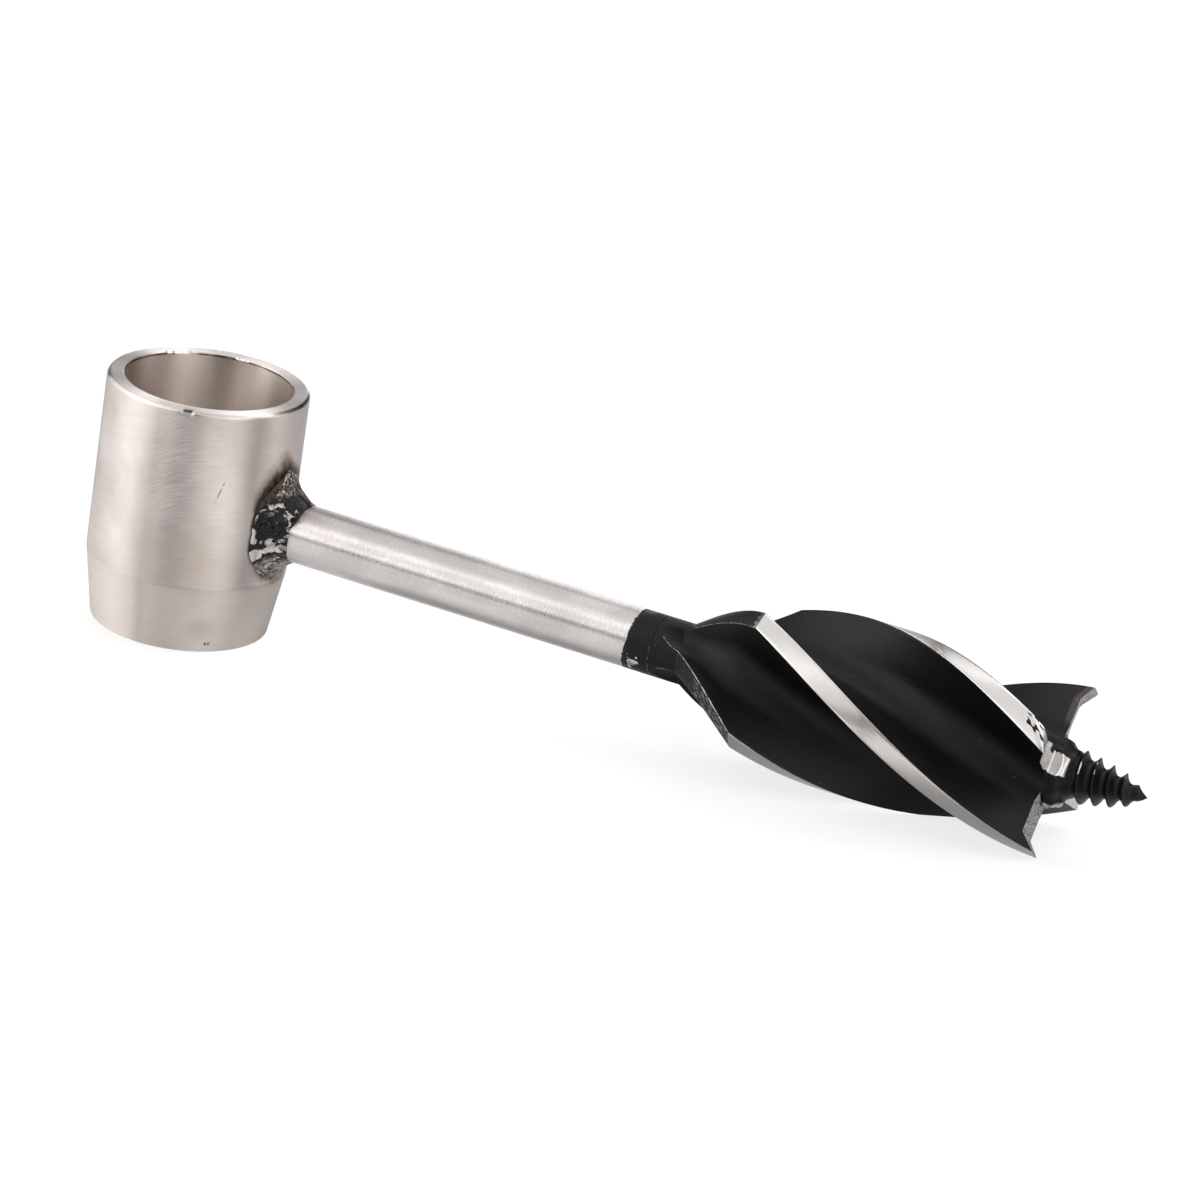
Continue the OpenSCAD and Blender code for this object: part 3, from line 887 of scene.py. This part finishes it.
def make_bit(material):
    rows = BitRows()
    outline, across, land = wing_outline(BAR_R, BAR_R - MM)
    rows.add(outline * GROOVE_ROOT_R / BAR_R, across, 0 * land, lambda k: JOINT_X)
    for x in path(GROOVE_X1 + 0.01, (SHOULDER_X, 70)):
        outline, across, land = wing_outline(BAR_R, flute_floor(x))
        turned = 1 + land * TURNED_H / BAR_R * math.sin(2 * math.pi * x / TURNED_STEP)
        worn = CORNER * (land == CORNER) * smooth(RUNOUT_X + 0.2, RUNOUT_X + 0.8, x)
        rows.add(outline * turned[:, None], across, worn, lambda k: x)
    for x in path(SHOULDER_X, (LAND_X - 0.15, 46), (LAND_X + 0.15, 2))[1:]:
        outline, across, land = wing_outline(min(shoulder_radius(min(x, LAND_X)), BIT_R), flute_floor(x))
        rows.add(outline, across, land, lambda k: x)
    outline, across, land = wing_outline(BIT_R)
    back = REACH - FRONT_L
    for x in path(LAND_X + 0.15, (back, 170))[1:]:
        rows.add(outline, across, land, lambda k: x)
    tips = [end_station(k, outline) for k in range(WINGS)]
    for share in path(0.0, (0.9, 12), (0.985, 3))[1:]:
        rows.add(outline, across, land, lambda k: back + (tips[k] - back) * share)
    radius = np.linalg.norm(outline, axis=1)[:, None]
    nose_r = NOSE_LINE[0][1]
    root = np.minimum(radius, nose_r + NOSE_WEB)
    for share in path(0.006, (0.02, 1), (1.0, 30)):
        inner = outline * (1 - share * (1 - root / radius))
        rows.add(inner, across, np.ones_like(land), lambda k: end_station(k, inner), ends=1.0)
    for x, r in path(NOSE_LINE[0], *zip(NOSE_LINE[1:], (10, 5, 8))):
        webbed = (root / nose_r - 1) * smooth(NOSE_LINE[2][0], REACH, x)
        rows.add(outline / radius * r * (1 + webbed), across, 0 * land, lambda k: x)
    wear_bit(*rows.arrays(), material)


def scar_on_nose(x, rho, angle):
    """Share of each point that lies on the flat ground across the nose in front of the swept wing."""
    x0, x1 = SCAR_X
    off = np.hypot(np.clip(np.abs(x - (x0 + x1) / 2) - (x1 - x0) / 2, 0, None),
                   rho * np.radians(np.clip(np.abs(angle - SCAR_ANGLE) - SCAR_HALF, 0, None)))
    return smooth(0.22, 0.0, off) * (rho < CORE_R + np.where(x > REACH, 0.6, 0.2)) * (x > REACH - 1.2)


def paint_smear(x, side):
    """Hair lines of paint that is smeared over the end of B's land."""
    hairs = flat(x / 2.2, (side + 0.25 * (x - SMEAR_X)) / 0.3)
    smear = smooth(-0.05, 0.3, wobble(hairs, 1.0, 5.5)) * smooth(1.2, -0.2, side)
    return (0.12 + 0.6 * smear) * smooth(SMEAR_X - 1.2, SMEAR_X + 0.6, x)


def wear_bit(points, flute, land, ends, material):
    """Wears the bit: paint left on the shoulders, a ground scar on the nose, stains on the lands."""
    x, side = points[..., 0], flute[..., 1]
    rho, angle = polar(points)
    wing = np.rint(flute[..., 2] / WING_MARK).astype(int)
    on_a, on_c, on_d, on_b = (wing == k for k in range(WINGS))

    def by_wing(table):
        return np.array(table)[wing]

    painted_to = by_wing(PAINTED_TO)
    rubbed_off = np.where(on_c & (x < LAND_X), SHOULDER_WORN, 1.0)
    unpainted = rubbed_off * smooth(painted_to - 1.5, painted_to + 0.8, x)
    bare = land * (LAND_WORN + (1 - LAND_WORN) * unpainted)
    edge = (np.abs(land - CORNER) < 0.1) & (x > np.where(on_c, RUNOUT_X + 0.6, SHOULDER_X + 1))
    worn = np.where(x < LAND_X, by_wing(WORN_EDGE), WORN_LAND_EDGE)
    bare = np.where(edge, np.maximum(bare, worn), bare)

    on_end = ends > 0
    toward_c = (on_a & (side > 0)) | (on_c & (side < 0))
    by_scar = on_b & (np.abs(angle - SCAR_ANGLE) < SCAR_HALF - 5)
    ground = np.where(toward_c | by_scar, 1.0, smooth(CORE_R + 0.3, CORE_R + 1.1, rho)) * on_end
    strip = span(x, REACH - 1.9, REACH - 1.2, REACH + STRIP_L - 0.5, REACH + STRIP_L) * toward_c * ~on_end
    strip = strip * smooth(CORE_R + 1.4, CORE_R + 0.5, rho)
    bare = np.maximum(np.where(on_end, by_wing(END_BARE) * ground, bare), STRIP_BARE * strip)
    ends = np.maximum(ground, strip) * by_wing(END_GRAIN)

    rubbed = on_d * (side > 0) * (ends == 0) * smooth(1.7, 1.0, REACH + SPUR_H * spur_share(rho) - x)
    rubbed = rubbed * smooth(CORE_R + 0.6, CORE_R + 4, rho) * (0.75 + 0.5 * wobble(points, 0.7, 6.0))
    bare = np.maximum(bare, 0.34 * rubbed)
    bare = bare - paint_smear(x, side) * on_b * land * np.where(ends > 0, SMEAR_ON_END, 1.0)

    rough = by_wing(END_ROUGH) * ends * wobble(points, 0.8) * smooth(CORE_R, CORE_R + 1, rho)
    bevel_from = BEVEL_X + BEVEL_L * smooth(-WING_HALF, 1.2 * WING_HALF, side)
    bevel = on_b * np.clip((x - bevel_from) / BEVEL_L, 0, 1) ** 1.5 * smooth(CORE_R + 2, BIT_R, rho)
    points = grown(points, 1 - BEVEL_H * bevel / rho)
    points[..., 0] += rough
    scar = scar_on_nose(x, rho, angle)
    flat_r = SCAR_R / np.cos(np.radians(angle - SCAR_ANGLE))
    points = grown(points, np.where(scar > 0.3, np.minimum(1, flat_r / rho), 1.0))
    on_nose = (x > REACH + 0.05) * (rho < NOSE_MOST_R)
    low, high = HOLLOW
    hollow = span(angle, low, low + HOLLOW_SOFT, high - HOLLOW_SOFT, high) * smooth(*HOLLOW_END[::-1], x)
    rib = hump(angle - np.interp(x, RIB_X, RIB_ANGLE), RIB_HALF) * on_nose
    rib = rib * smooth(RIB_X[1] + 0.3, RIB_X[1] - 0.3, x)
    lump = rib * RIB_H / rho * (1 + 0.3 * wobble(points, 0.6, 9.7))
    points = grown(points, 1 - HOLLOW_DEEP * hollow * on_nose + lump)
    bare = np.maximum(bare, np.maximum(0.95 * scar, RIB_BARE * rib))
    ends = np.where(scar > 0.5, 0.0, np.maximum(ends, RIB_GRAIN * (rib > 0.4)))

    stain = on_c * smooth(*C_STAIN_X, x) + on_a * (x < LAND_X) * (x > SHOULDER_X)
    for k, station, length, amount in STAINS:
        stain = stain + (wing == k) * amount * hump(x - station, length)
    scar_end = by_scar * (ends > 0) * smooth(CORE_R + 1.2, CORE_R + 0.6, rho)
    stain = land * stain + SCAR_STAIN * np.maximum(scar, scar_end)
    cast = on_a * hump(x - CAST_X, CAST_L) * (side < 0) * smooth(5, 8, np.abs(side))
    piece("auger_bit", points, grid_faces(*x.shape) + end_caps(*x.shape), material, "bit_black", "bit_body",
          bare=bare, ends=ends, stain=stain, cast=cast, brown=rubbed, flute=flute)


# Screw point

THREAD_PITCH = 2.32
THREAD_SHIFT = 0.8
THREAD_PROFILE = 26
SCREW_COLS = 120
SCREW_BASE_X = NOSE_X - 0.4
# Bright rub on the first thread, as (station, angle)
DASH = (157.65, 140)
# Crest and root radii along the screw, as (station, crest, root)
SCREW_TAPER = ((156.0, 3.8, 3.7), (157.3, 4.3, 3.35), (159.2, 3.95, 2.8), (161.5, 3.45, 2.2),
               (163.8, 2.95, 1.75), (165.6, 2.2, 1.3), (166.9, 1.2, 0.95), (168.25, 0.06, 0.05))


def make_screw(material):
    stations, crests, roots = np.array(SCREW_TAPER).T
    turns = int((TIP_X - SCREW_BASE_X) / THREAD_PITCH) + 3
    theta = np.linspace(0, 360, SCREW_COLS, endpoint=False)
    phase = np.arange(turns * THREAD_PROFILE)[:, None] / THREAD_PROFILE
    raw = SCREW_BASE_X + THREAD_SHIFT + THREAD_PITCH * (phase - 2 + theta / 360)
    x = np.clip(raw, SCREW_BASE_X, TIP_X)
    crest, root = np.interp(x, stations, crests), np.interp(x, stations, roots)
    ridge = np.clip((np.abs(2 * (phase % 1) - 1) - 0.1) / 0.87, 0, 1) ** 1.6
    r = root + (crest - root) * ridge
    points = on_rings(x, r, theta)
    worn = 0.34 * smooth(0.9, 1.0, ridge) + 0.25 * smooth(-0.1, 0.5, wobble(points, 1.1)) * ridge
    worn = worn + hump(x - DASH[0], 0.2) * hump((theta - DASH[1]) * np.radians(r), 1.0, 4)
    rows, cols = x.shape
    i, j = np.indices((rows - 1, cols))
    up = i + THREAD_PROFILE * (j == cols - 1)
    after = (j + 1) % cols
    quads = np.stack([i * cols + j, up * cols + after, (up + 1) * cols + after, (i + 1) * cols + j], axis=-1)
    close_ends(piece("screw_point", points, quads[up + 1 < rows].tolist(), material, "screw_black",
                     "lead_screw", bare=worn, flute=flat(x, theta * np.radians(3))))


def close_ends(obj):
    """Merges the collapsed ends of a helical grid and closes them."""
    bm = bmesh.new()
    bm.from_mesh(obj.data)
    bmesh.ops.remove_doubles(bm, verts=bm.verts, dist=0.002 * MM)
    bmesh.ops.dissolve_degenerate(bm, edges=bm.edges, dist=0.001 * MM)
    bmesh.ops.holes_fill(bm, edges=[e for e in bm.edges if e.is_boundary], sides=0)
    bmesh.ops.recalc_face_normals(bm, faces=bm.faces)
    bm.to_mesh(obj.data)
    bm.free()
    obj.data.shade_smooth()


# Eye weld

# Runs of the weld, as (name, angle about the bar where it starts), and the angle that each covers
WELD_RUNS = (("upper", 45), ("front", 135), ("lower", 225), ("rear", 315))
RUN_ANGLE = 90
WELD_STEP = 0.5
WELD_FACE_N = 72
WELD_HOLLOW = 0.42
WELD_SEAT = 0.04
# Drops and lips that stand on the weld, each from one place to another:
# (angle, share of the way to the eye, angle, share, radius, height, brightness)
WELD_DROPS = ((208, 0.95, 207, 0.82, 1.12, 0.40, 1.0), (206, 0.80, 200, 0.28, 0.62, 0.48, 1.0),
              (200, 0.20, 196, 0.08, 0.84, 0.44, 1.0),
              (190, 0.44, 188, 0.40, 0.86, 0.85, 1.0), (173, 0.95, 188, 0.90, 0.50, 0.36, 0.95),
              (140, 0.12, 137, 0.16, 0.62, 0.50, 0.80), (134, 0.24, 131, 0.30, 0.36, 0.34, 0.85),
              (121.5, 0.13, 121.5, 0.12, 0.38, 0.36, 1.0), (137, 0.72, 136, 0.68, 0.44, 0.40, 0.80),
              (132, 0.62, 131, 0.58, 0.34, 0.30, 0.70), (128, 0.53, 126, 0.49, 0.46, 0.40, 0.85),
              (163, 0.61, 162, 0.56, 0.15, 0.24, 1.0), (176, 0.77, 176, 0.76, 0.13, 0.20, 0.9),
              # The flat grey drop at angle 146 in the crater is a painted sheen: oxide grey that stands for
              # a reflection
              (146, 0.66, 144, 0.60, 0.55, 0.06, 0.30), (233, 0.70, 230, 0.52, 0.36, 0.20, 0.66),
              (224, 0.36, 221, 0.22, 0.30, 0.24, 0.70), (99, 0.93, 104, 0.86, 0.20, 0.20, 1.0),
              (247, 0.90, 228, 0.97, 0.22, 0.16, 0.60))
# Sizes and amounts of the noise that makes the outlines of the weld's lumps uneven, and the radius
# from which a lump takes only a part of it
RAGGED = ((0.9, 0.34), (0.38, 0.15))
SMOOTH_FROM = 0.64
SMOOTH_SHARE = 0.3
# Patches of the weld, as (angle, share of the way to the eye, half angle, half share)
CRATER = (163, 0.50, 26, 0.43)
GLASSY = (113, 0.34, 13, 0.24)
FLAKY = (104, 0.80, 24, 0.42)
LOW_BEAD = (240, 0.55, 28, 0.6)
CRATER_DEEP = 0.85
# Ripples round a place on the lower run, and scallops on the runs that the photo doesn't show
RIPPLE_AT = (236, 0.60)
RIPPLE_STEP = 0.85
SCALLOP_STEP = 9.0


def weld_base(angle, t):
    """Hollow fillet from the toe on the bar (t = 0) to the toe on the eye (t = 1)."""
    angle, t = np.broadcast_arrays(np.asarray(angle, float), np.asarray(t, float))
    seat_r = np.full(t.shape, BAR_R + WELD_SEAT)
    out_r = weld_toe(angle, 1)
    toe_bar = np.stack([weld_toe(angle, 2), seat_r], axis=-1)
    toe_eye = np.stack([on_eye_station(out_r, angle), out_r], axis=-1)
    root = np.stack([on_eye_station(seat_r, angle), seat_r], axis=-1)
    pull = (toe_bar + toe_eye) / 2 * (1 - WELD_HOLLOW) + root * WELD_HOLLOW
    t = t[..., None]
    return (1 - t) ** 2 * toe_bar + 2 * t * (1 - t) * pull + t ** 2 * toe_eye


def on_eye_station(r, angle):
    """Station of the weld's seat on the eye, at a distance from the X axis and an angle about it."""
    return np.sqrt((EYE_R + WELD_SEAT) ** 2 - (r * np.cos(np.radians(angle))) ** 2)


def on_weld(angle, t):
    """Place in space on the plain fillet."""
    section = weld_base(angle, t)
    return on_rings(section[..., 0], section[..., 1], angle)


def patch_share(a, t, patch, warp):
    """How far points lie from the middle of a patch of the weld, 1 at its border."""
    at, share, half_angle, half_share = patch
    return np.hypot((a - at) / half_angle, (t - share) / half_share) * warp


def sculpt(a, t, base):
    """Height over the plain fillet and brightness of each point of the weld."""
    warp = 1 + 0.22 * wobble(base, 0.7, 2.3) + 0.12 * wobble(base, 0.3, 8.1)
    unseen = 1 - span(a, 78, 90, 262, 276)
    scallop = np.abs(np.sin(np.pi * (a / SCALLOP_STEP + 0.9 * (t - 0.5) ** 2)))
    rise = 0.10 * wobble(base, 1.5, 3.1) + 0.06 * wobble(base, 0.6, 7.7) + unseen * 0.16 * scallop
    shine = 0.17 + 0.12 * wobble(base, 0.9, 5.3) + unseen * (0.14 + 0.18 * scallop)
    flaky = smooth(1.1, 0.5, patch_share(a, t, FLAKY, warp))
    shine += flaky * (0.16 + 0.5 * wobble(base, 0.34, 4.4))
    rise += flaky * 0.09 * wobble(base, 0.35, 1.7)
    shine += (0.1 - shine) * smooth(1.1, 0.7, patch_share(a, t, GLASSY, warp))
    shine += (0.5 - shine) * smooth(1.1, 0.75, patch_share(a, t, LOW_BEAD, warp))
    crater = patch_share(a, t, CRATER, warp)
    rise += -CRATER_DEEP * smooth(1.0, 0.3, crater) + 0.16 * hump(crater - 1.1, 0.13)
    shine += (-0.2 + 0.14 * wobble(base, 0.5, 6.6) - shine) * smooth(1.05, 0.88, crater)
    shine += 0.8 * smooth(0.5, 0.62, wobble(base, 0.3, 12.3)) * smooth(1.0, 0.8, crater)
    shine += 0.65 * hump(crater - 1.03, 0.06) * smooth(-0.2, 0.2, wobble(base, 0.8, 15.1))
    ridge = hump(crater - 1.12, 0.14) * smooth(0.42, 0.25, t) * smooth(192, 180, a)
    shine += ridge * (0.5 + 0.5 * wobble(base, 0.4, 9.2))
    flaky = np.maximum(flaky, ridge)
    ripple_d = np.linalg.norm(base - on_weld(*RIPPLE_AT), axis=-1) + 0.5 * wobble(base, 1.3, 17.9)
    # The ripples are real relief, and they also brighten the colour on their crests: painted highlight arcs
    ripple_and_highlight = 0.08 * np.sin(2 * np.pi * ripple_d / RIPPLE_STEP) * span(ripple_d, 0.1, 0.7, 1.2, 3.4)
    rise += ripple_and_highlight
    shine += ripple_and_highlight
    shift = np.zeros(base.shape)
    for size, amount in RAGGED:
        shift += amount * np.stack([wobble(base, size, seed) for seed in (1.1, 14.7, 29.3)], axis=-1)
    swell, nearest = np.zeros(a.shape), np.full(a.shape, 9.0)
    for a0, t0, a1, t1, radius, height, bright in WELD_DROPS:
        uneven = base + shift * (SMOOTH_SHARE if radius > SMOOTH_FROM else 1.0)
        d = segment_distance(uneven, on_weld(a0, t0), on_weld(a1, t1)) / radius
        swell = np.maximum(swell, height * np.sqrt(np.clip(1 - d * d, 0, 1)))
        shine += (bright - shine) * smooth(1.0, 0.8, d)
        nearest = np.minimum(nearest, d)
    # A shallow dip round each drop, whose colour is also darkened: painted shade in the crease
    groove_and_shade = hump(nearest - 1.15, 0.16)
    rise = rise * (0.35 + 0.65 * smooth(0.7, 1.1, nearest)) + swell - 0.1 * groove_and_shade
    shine -= 0.3 * groove_and_shade
    flaky *= smooth(0.9, 1.2, nearest)
    scorch = smooth(0.78, 0.98, t + 0.08 * wobble(base, 0.6, 3.3)) * span(a, 96, 106, 144, 158)
    scorch = np.maximum(scorch, 0.55 * flaky * smooth(-0.2, 0.3, wobble(base, 0.9, 21.4)))
    return rise, {"shine": shine, "flaky": flaky, "scorch": scorch}


def make_weld(name, node, start, material):
    """One run of the weld, with a back that lies on the eye."""
    angle = np.arange(start, start + RUN_ANGLE + WELD_STEP / 2, WELD_STEP)
    a, t = np.meshgrid(angle, np.linspace(0, 1, WELD_FACE_N + 1), indexing="ij")
    base = on_weld(a, t)
    du = on_weld(a, t + 0.01) - on_weld(a, t - 0.01)
    dv = on_weld(a + 0.5, t) - on_weld(a - 0.5, t)
    normal = np.cross(dv, du)
    normal /= np.linalg.norm(normal, axis=-1)[..., None]
    rise, looks = sculpt(a % 360, t, base)
    rise = rise * span(t, 0, 0.06, 0.88, 1.0)
    points = base + normal * rise[..., None]
    least = EYE_R + WELD_SEAT + 0.5 * np.clip(rise, 0, None)
    points[..., :2] *= np.maximum(1, least / np.hypot(points[..., 0], points[..., 1]))[..., None]
    out_r = weld_toe(angle, 1)[:, None]
    back_r = out_r + (BAR_R + WELD_SEAT - out_r) * np.array([0.33, 0.67, 1.0])
    back = on_rings(on_eye_station(back_r, angle[:, None]), back_r, angle[:, None])
    grid = np.concatenate([points, back], axis=1)
    hidden = np.zeros(back_r.shape)
    looks = {key: np.concatenate([values, hidden], axis=1) for key, values in looks.items()}
    shape = grid.shape[:2]
    faces = [face[::-1] for face in grid_faces(*shape) + end_caps(*shape)]
    piece(name, grid, faces, material, "weld_metal", node, **looks)


# Camera, floor and light

CAMERA_AT = (337.93, -665.46, 276.05)
CAMERA_RIGHT = (0.89644, 0.41686, 0.15044)
CAMERA_UP = (-0.27863, 0.26617, 0.92278)
LENS = 144
SENSOR = 36
# Nearest and farthest distance that the camera shows, in metres
CLIP = (0.05, 20)
FLOOR_SIZE = 6000
FLOOR_RISE = 0.0596
FLOOR_PALE = 0.5
FLOOR_LIFT = 0.78
WORLD_LEVEL = 0.42
STAGE_AIM = (75.0, 0.0, 0.0)
# Softboxes as (name, azimuth, elevation, distance, width, height, radiance)
SOFTBOXES = (("key", -112, 52, 900, 700, 480, 0.18),
             ("fill", -15, 50, 900, 420, 420, 0.8),
             ("back", 70, 62, 950, 700, 360, 1.5))

# Brightness of the screen of panels that stands round the object, by azimuth
SCREEN = ((-180, 1.5), (-165, 2.0), (-150, 3.2), (-138, 3.9), (-125, 3.1), (-112, 1.7), (-102, 0.6),
          (-92, 0.02), (-80, 0.2), (-68, 0.8), (-53, 1.4), (-42, 1.7), (-30, 1.9), (-20, 1.5), (-8, 0.7),
          (1, 0.4), (12, 0.8), (26, 1.5), (40, 1.1), (52, 0.35), (75, 0.0), (94, 0.05), (101, 0.5),
          (108, 1.8), (114, 1.8), (120, 1.3), (140, 1.1), (152, 1.0), (165, 1.2), (180, 1.5))
SCREEN_R = 1000
SCREEN_ROWS = np.arange(-40.0, 1421.0, 20.0)
SCREEN_COLS = 180
# Heights between which the screen fades to plain white
SCREEN_FADE = (850, 1400)
# Dimmer strips on the screen, as (from azimuth, to azimuth, low, high, brightness, height of the fade)
SKIRTS = ((-130, -75, -10, 170, 0.1, 60), (119, 150, -20, 900, 0.2, 500), (-144, -104, 380, 900, 1.5, 200),
          (-96, -74, -20, 1380, 0.05, 30), (84, 102, -20, 1380, 0.05, 30))
SKIRT_SOFT = 6
SKIRT_FOOT = 15
# Soft shades on the floor under the bar, round the bit and inside the eye,
# as (start, end, half width, depth)
SHADES = (((34.0, 0.0), (92.0, 0.0), 11.0, 0.6), ((98.0, -13.0), (150.0, -15.0), 20.0, 0.65),
          ((-0.1, 0.0), (0.1, 0.0), 13.0, 0.96))
SHADE_LIFT = 0.3
SHADE_X = (-30.0, 220.0)
SHADE_Y = (-90.0, 55.0)
SHADE_STEPS = 60


def make_camera():
    data = bpy.data.cameras.new("camera")
    data.lens, data.sensor_width = LENS, SENSOR
    data.clip_start, data.clip_end = CLIP
    camera = placed("camera", data)
    right, up = Vector(CAMERA_RIGHT).normalized(), Vector(CAMERA_UP).normalized()
    turn = Matrix((right, up, right.cross(up))).transposed()
    camera.matrix_world = Matrix.Translation(Vector(CAMERA_AT) * MM) @ turn.to_4x4()
    bpy.context.scene.camera = camera


def floor_height(x):
    """Height of the floor, on which the eye's lower edge and the bit's lowest land rest."""
    return EYE_BOTTOM + FLOOR_RISE * (x - BORE_R - TAPER_EDGE)


def make_floor():
    """Pale floor under the object."""
    half = FLOOR_SIZE / 2
    outline = ((-half, -half), (half, -half), (half, half), (-half, half))
    corners = [(x, y, floor_height(x)) for x, y in outline]
    material = bpy.data.materials.new("floor_pale")
    n = Nodes(material)
    matte = n.add("BsdfDiffuse", {"Color": (FLOOR_PALE,) * 3})
    lift = n.add("Emission", {"Strength": n.times(n.to_view(), FLOOR_LIFT)})
    n.out("Material", n.add("AddShader", {0: matte.outputs[0], 1: lift.outputs[0]}).outputs[0])
    floor = placed("floor", mesh_of("floor", corners, [(0, 1, 2, 3)], material))


def make_world():
    """White to the camera and in reflections, and a plain soft light from all round."""
    world = bpy.data.worlds.new("studio")
    bpy.context.scene.world = world
    n = Nodes(world)
    level = n.add("MapRange", {"Value": n.to_view(), "To Min": WORLD_LEVEL, "To Max": 1.0})
    glow = n.add("Background", {"Color": (1, 1, 1), "Strength": level.outputs["Result"]})
    n.out("World", glow.outputs[0])


def aimed(azimuth, elevation, distance):
    """Matrix of a thing at that place about the object, whose -Z axis looks at it."""
    a, e = math.radians(azimuth), math.radians(elevation)
    out = Vector((math.cos(a) * math.cos(e), math.sin(a) * math.cos(e), math.sin(e)))
    place = Vector(STAGE_AIM) * MM + out * distance * MM
    return Matrix.Translation(place) @ out.to_track_quat("Z", "Y").to_matrix().to_4x4()


def make_lights():
    for name, azimuth, elevation, distance, width, height, radiance in SOFTBOXES:
        data = bpy.data.lights.new(name, "AREA")
        data.shape = "RECTANGLE"
        data.size, data.size_y = width * MM, height * MM
        data.energy = radiance * math.pi * data.size * data.size_y
        lamp = placed(name, data)
        lamp.matrix_world = aimed(azimuth, elevation, distance)
        lamp.visible_camera = False


def make_panel(name, points, faces, glow):
    """Panel of given brightness at its points, which only reflections show."""
    material = bpy.data.materials.new(name)
    n = Nodes(material)
    n.out("Material", n.add("Emission", {"Strength": n.attribute("glow")}).outputs[0])
    panel = placed(name, mesh_of(name, points, faces, material, glow=glow))
    panel.visible_camera = panel.visible_diffuse = panel.visible_shadow = False


def make_screen():
    """Light and dark panels round the object, with dimmer strips in front and behind."""
    azimuth = np.linspace(-180, 180, SCREEN_COLS, endpoint=False)
    a, h = np.meshgrid(np.radians(azimuth), SCREEN_ROWS)
    points = np.stack([SCREEN_R * np.cos(a), SCREEN_R * np.sin(a), h], axis=-1) + np.array(STAGE_AIM)
    level = np.interp(azimuth, *np.array(SCREEN).T)
    glow = 1 + (level - 1) * smooth(SCREEN_FADE[1], SCREEN_FADE[0], h)
    for start, end, low, high, dim, fade in SKIRTS:
        wide = span(azimuth, start - SKIRT_SOFT, start, end, end + SKIRT_SOFT)
        glow += (np.minimum(glow, dim) - glow) * wide * span(h, low - SKIRT_FOOT, low, high, high + fade)
    make_panel("screen", points, grid_faces(*glow.shape), glow)


def make_shade():
    """Darker floor under the bar, round the bit and inside the eye, where the object shades it."""
    x, y = np.meshgrid(np.linspace(*SHADE_X, SHADE_STEPS), np.linspace(*SHADE_Y, SHADE_STEPS))
    dark = np.zeros(x.shape)
    for start, end, width, depth in SHADES:
        d = segment_distance(np.stack([x, y], axis=-1), start, end)
        dark = np.maximum(dark, depth * hump(d, width))
    points = np.stack([x, y, floor_height(x) + SHADE_LIFT], axis=-1)
    make_panel("shade", points, grid_faces(*x.shape, wrap_cols=False), 1 - dark)


make_eye(eye_steel())
make_bar(bar_steel())
PAINT = black_paint()
make_neck(PAINT)
make_bit(PAINT)
make_screw(PAINT)
WELD = weld_metal()
for run, first_angle in WELD_RUNS:
    make_weld(run + "_bead", "weld_" + run, first_angle, WELD)
make_camera()
make_floor()
make_world()
make_lights()
make_screen()
make_shade()
bpy.context.scene.view_settings.view_transform = "Standard"
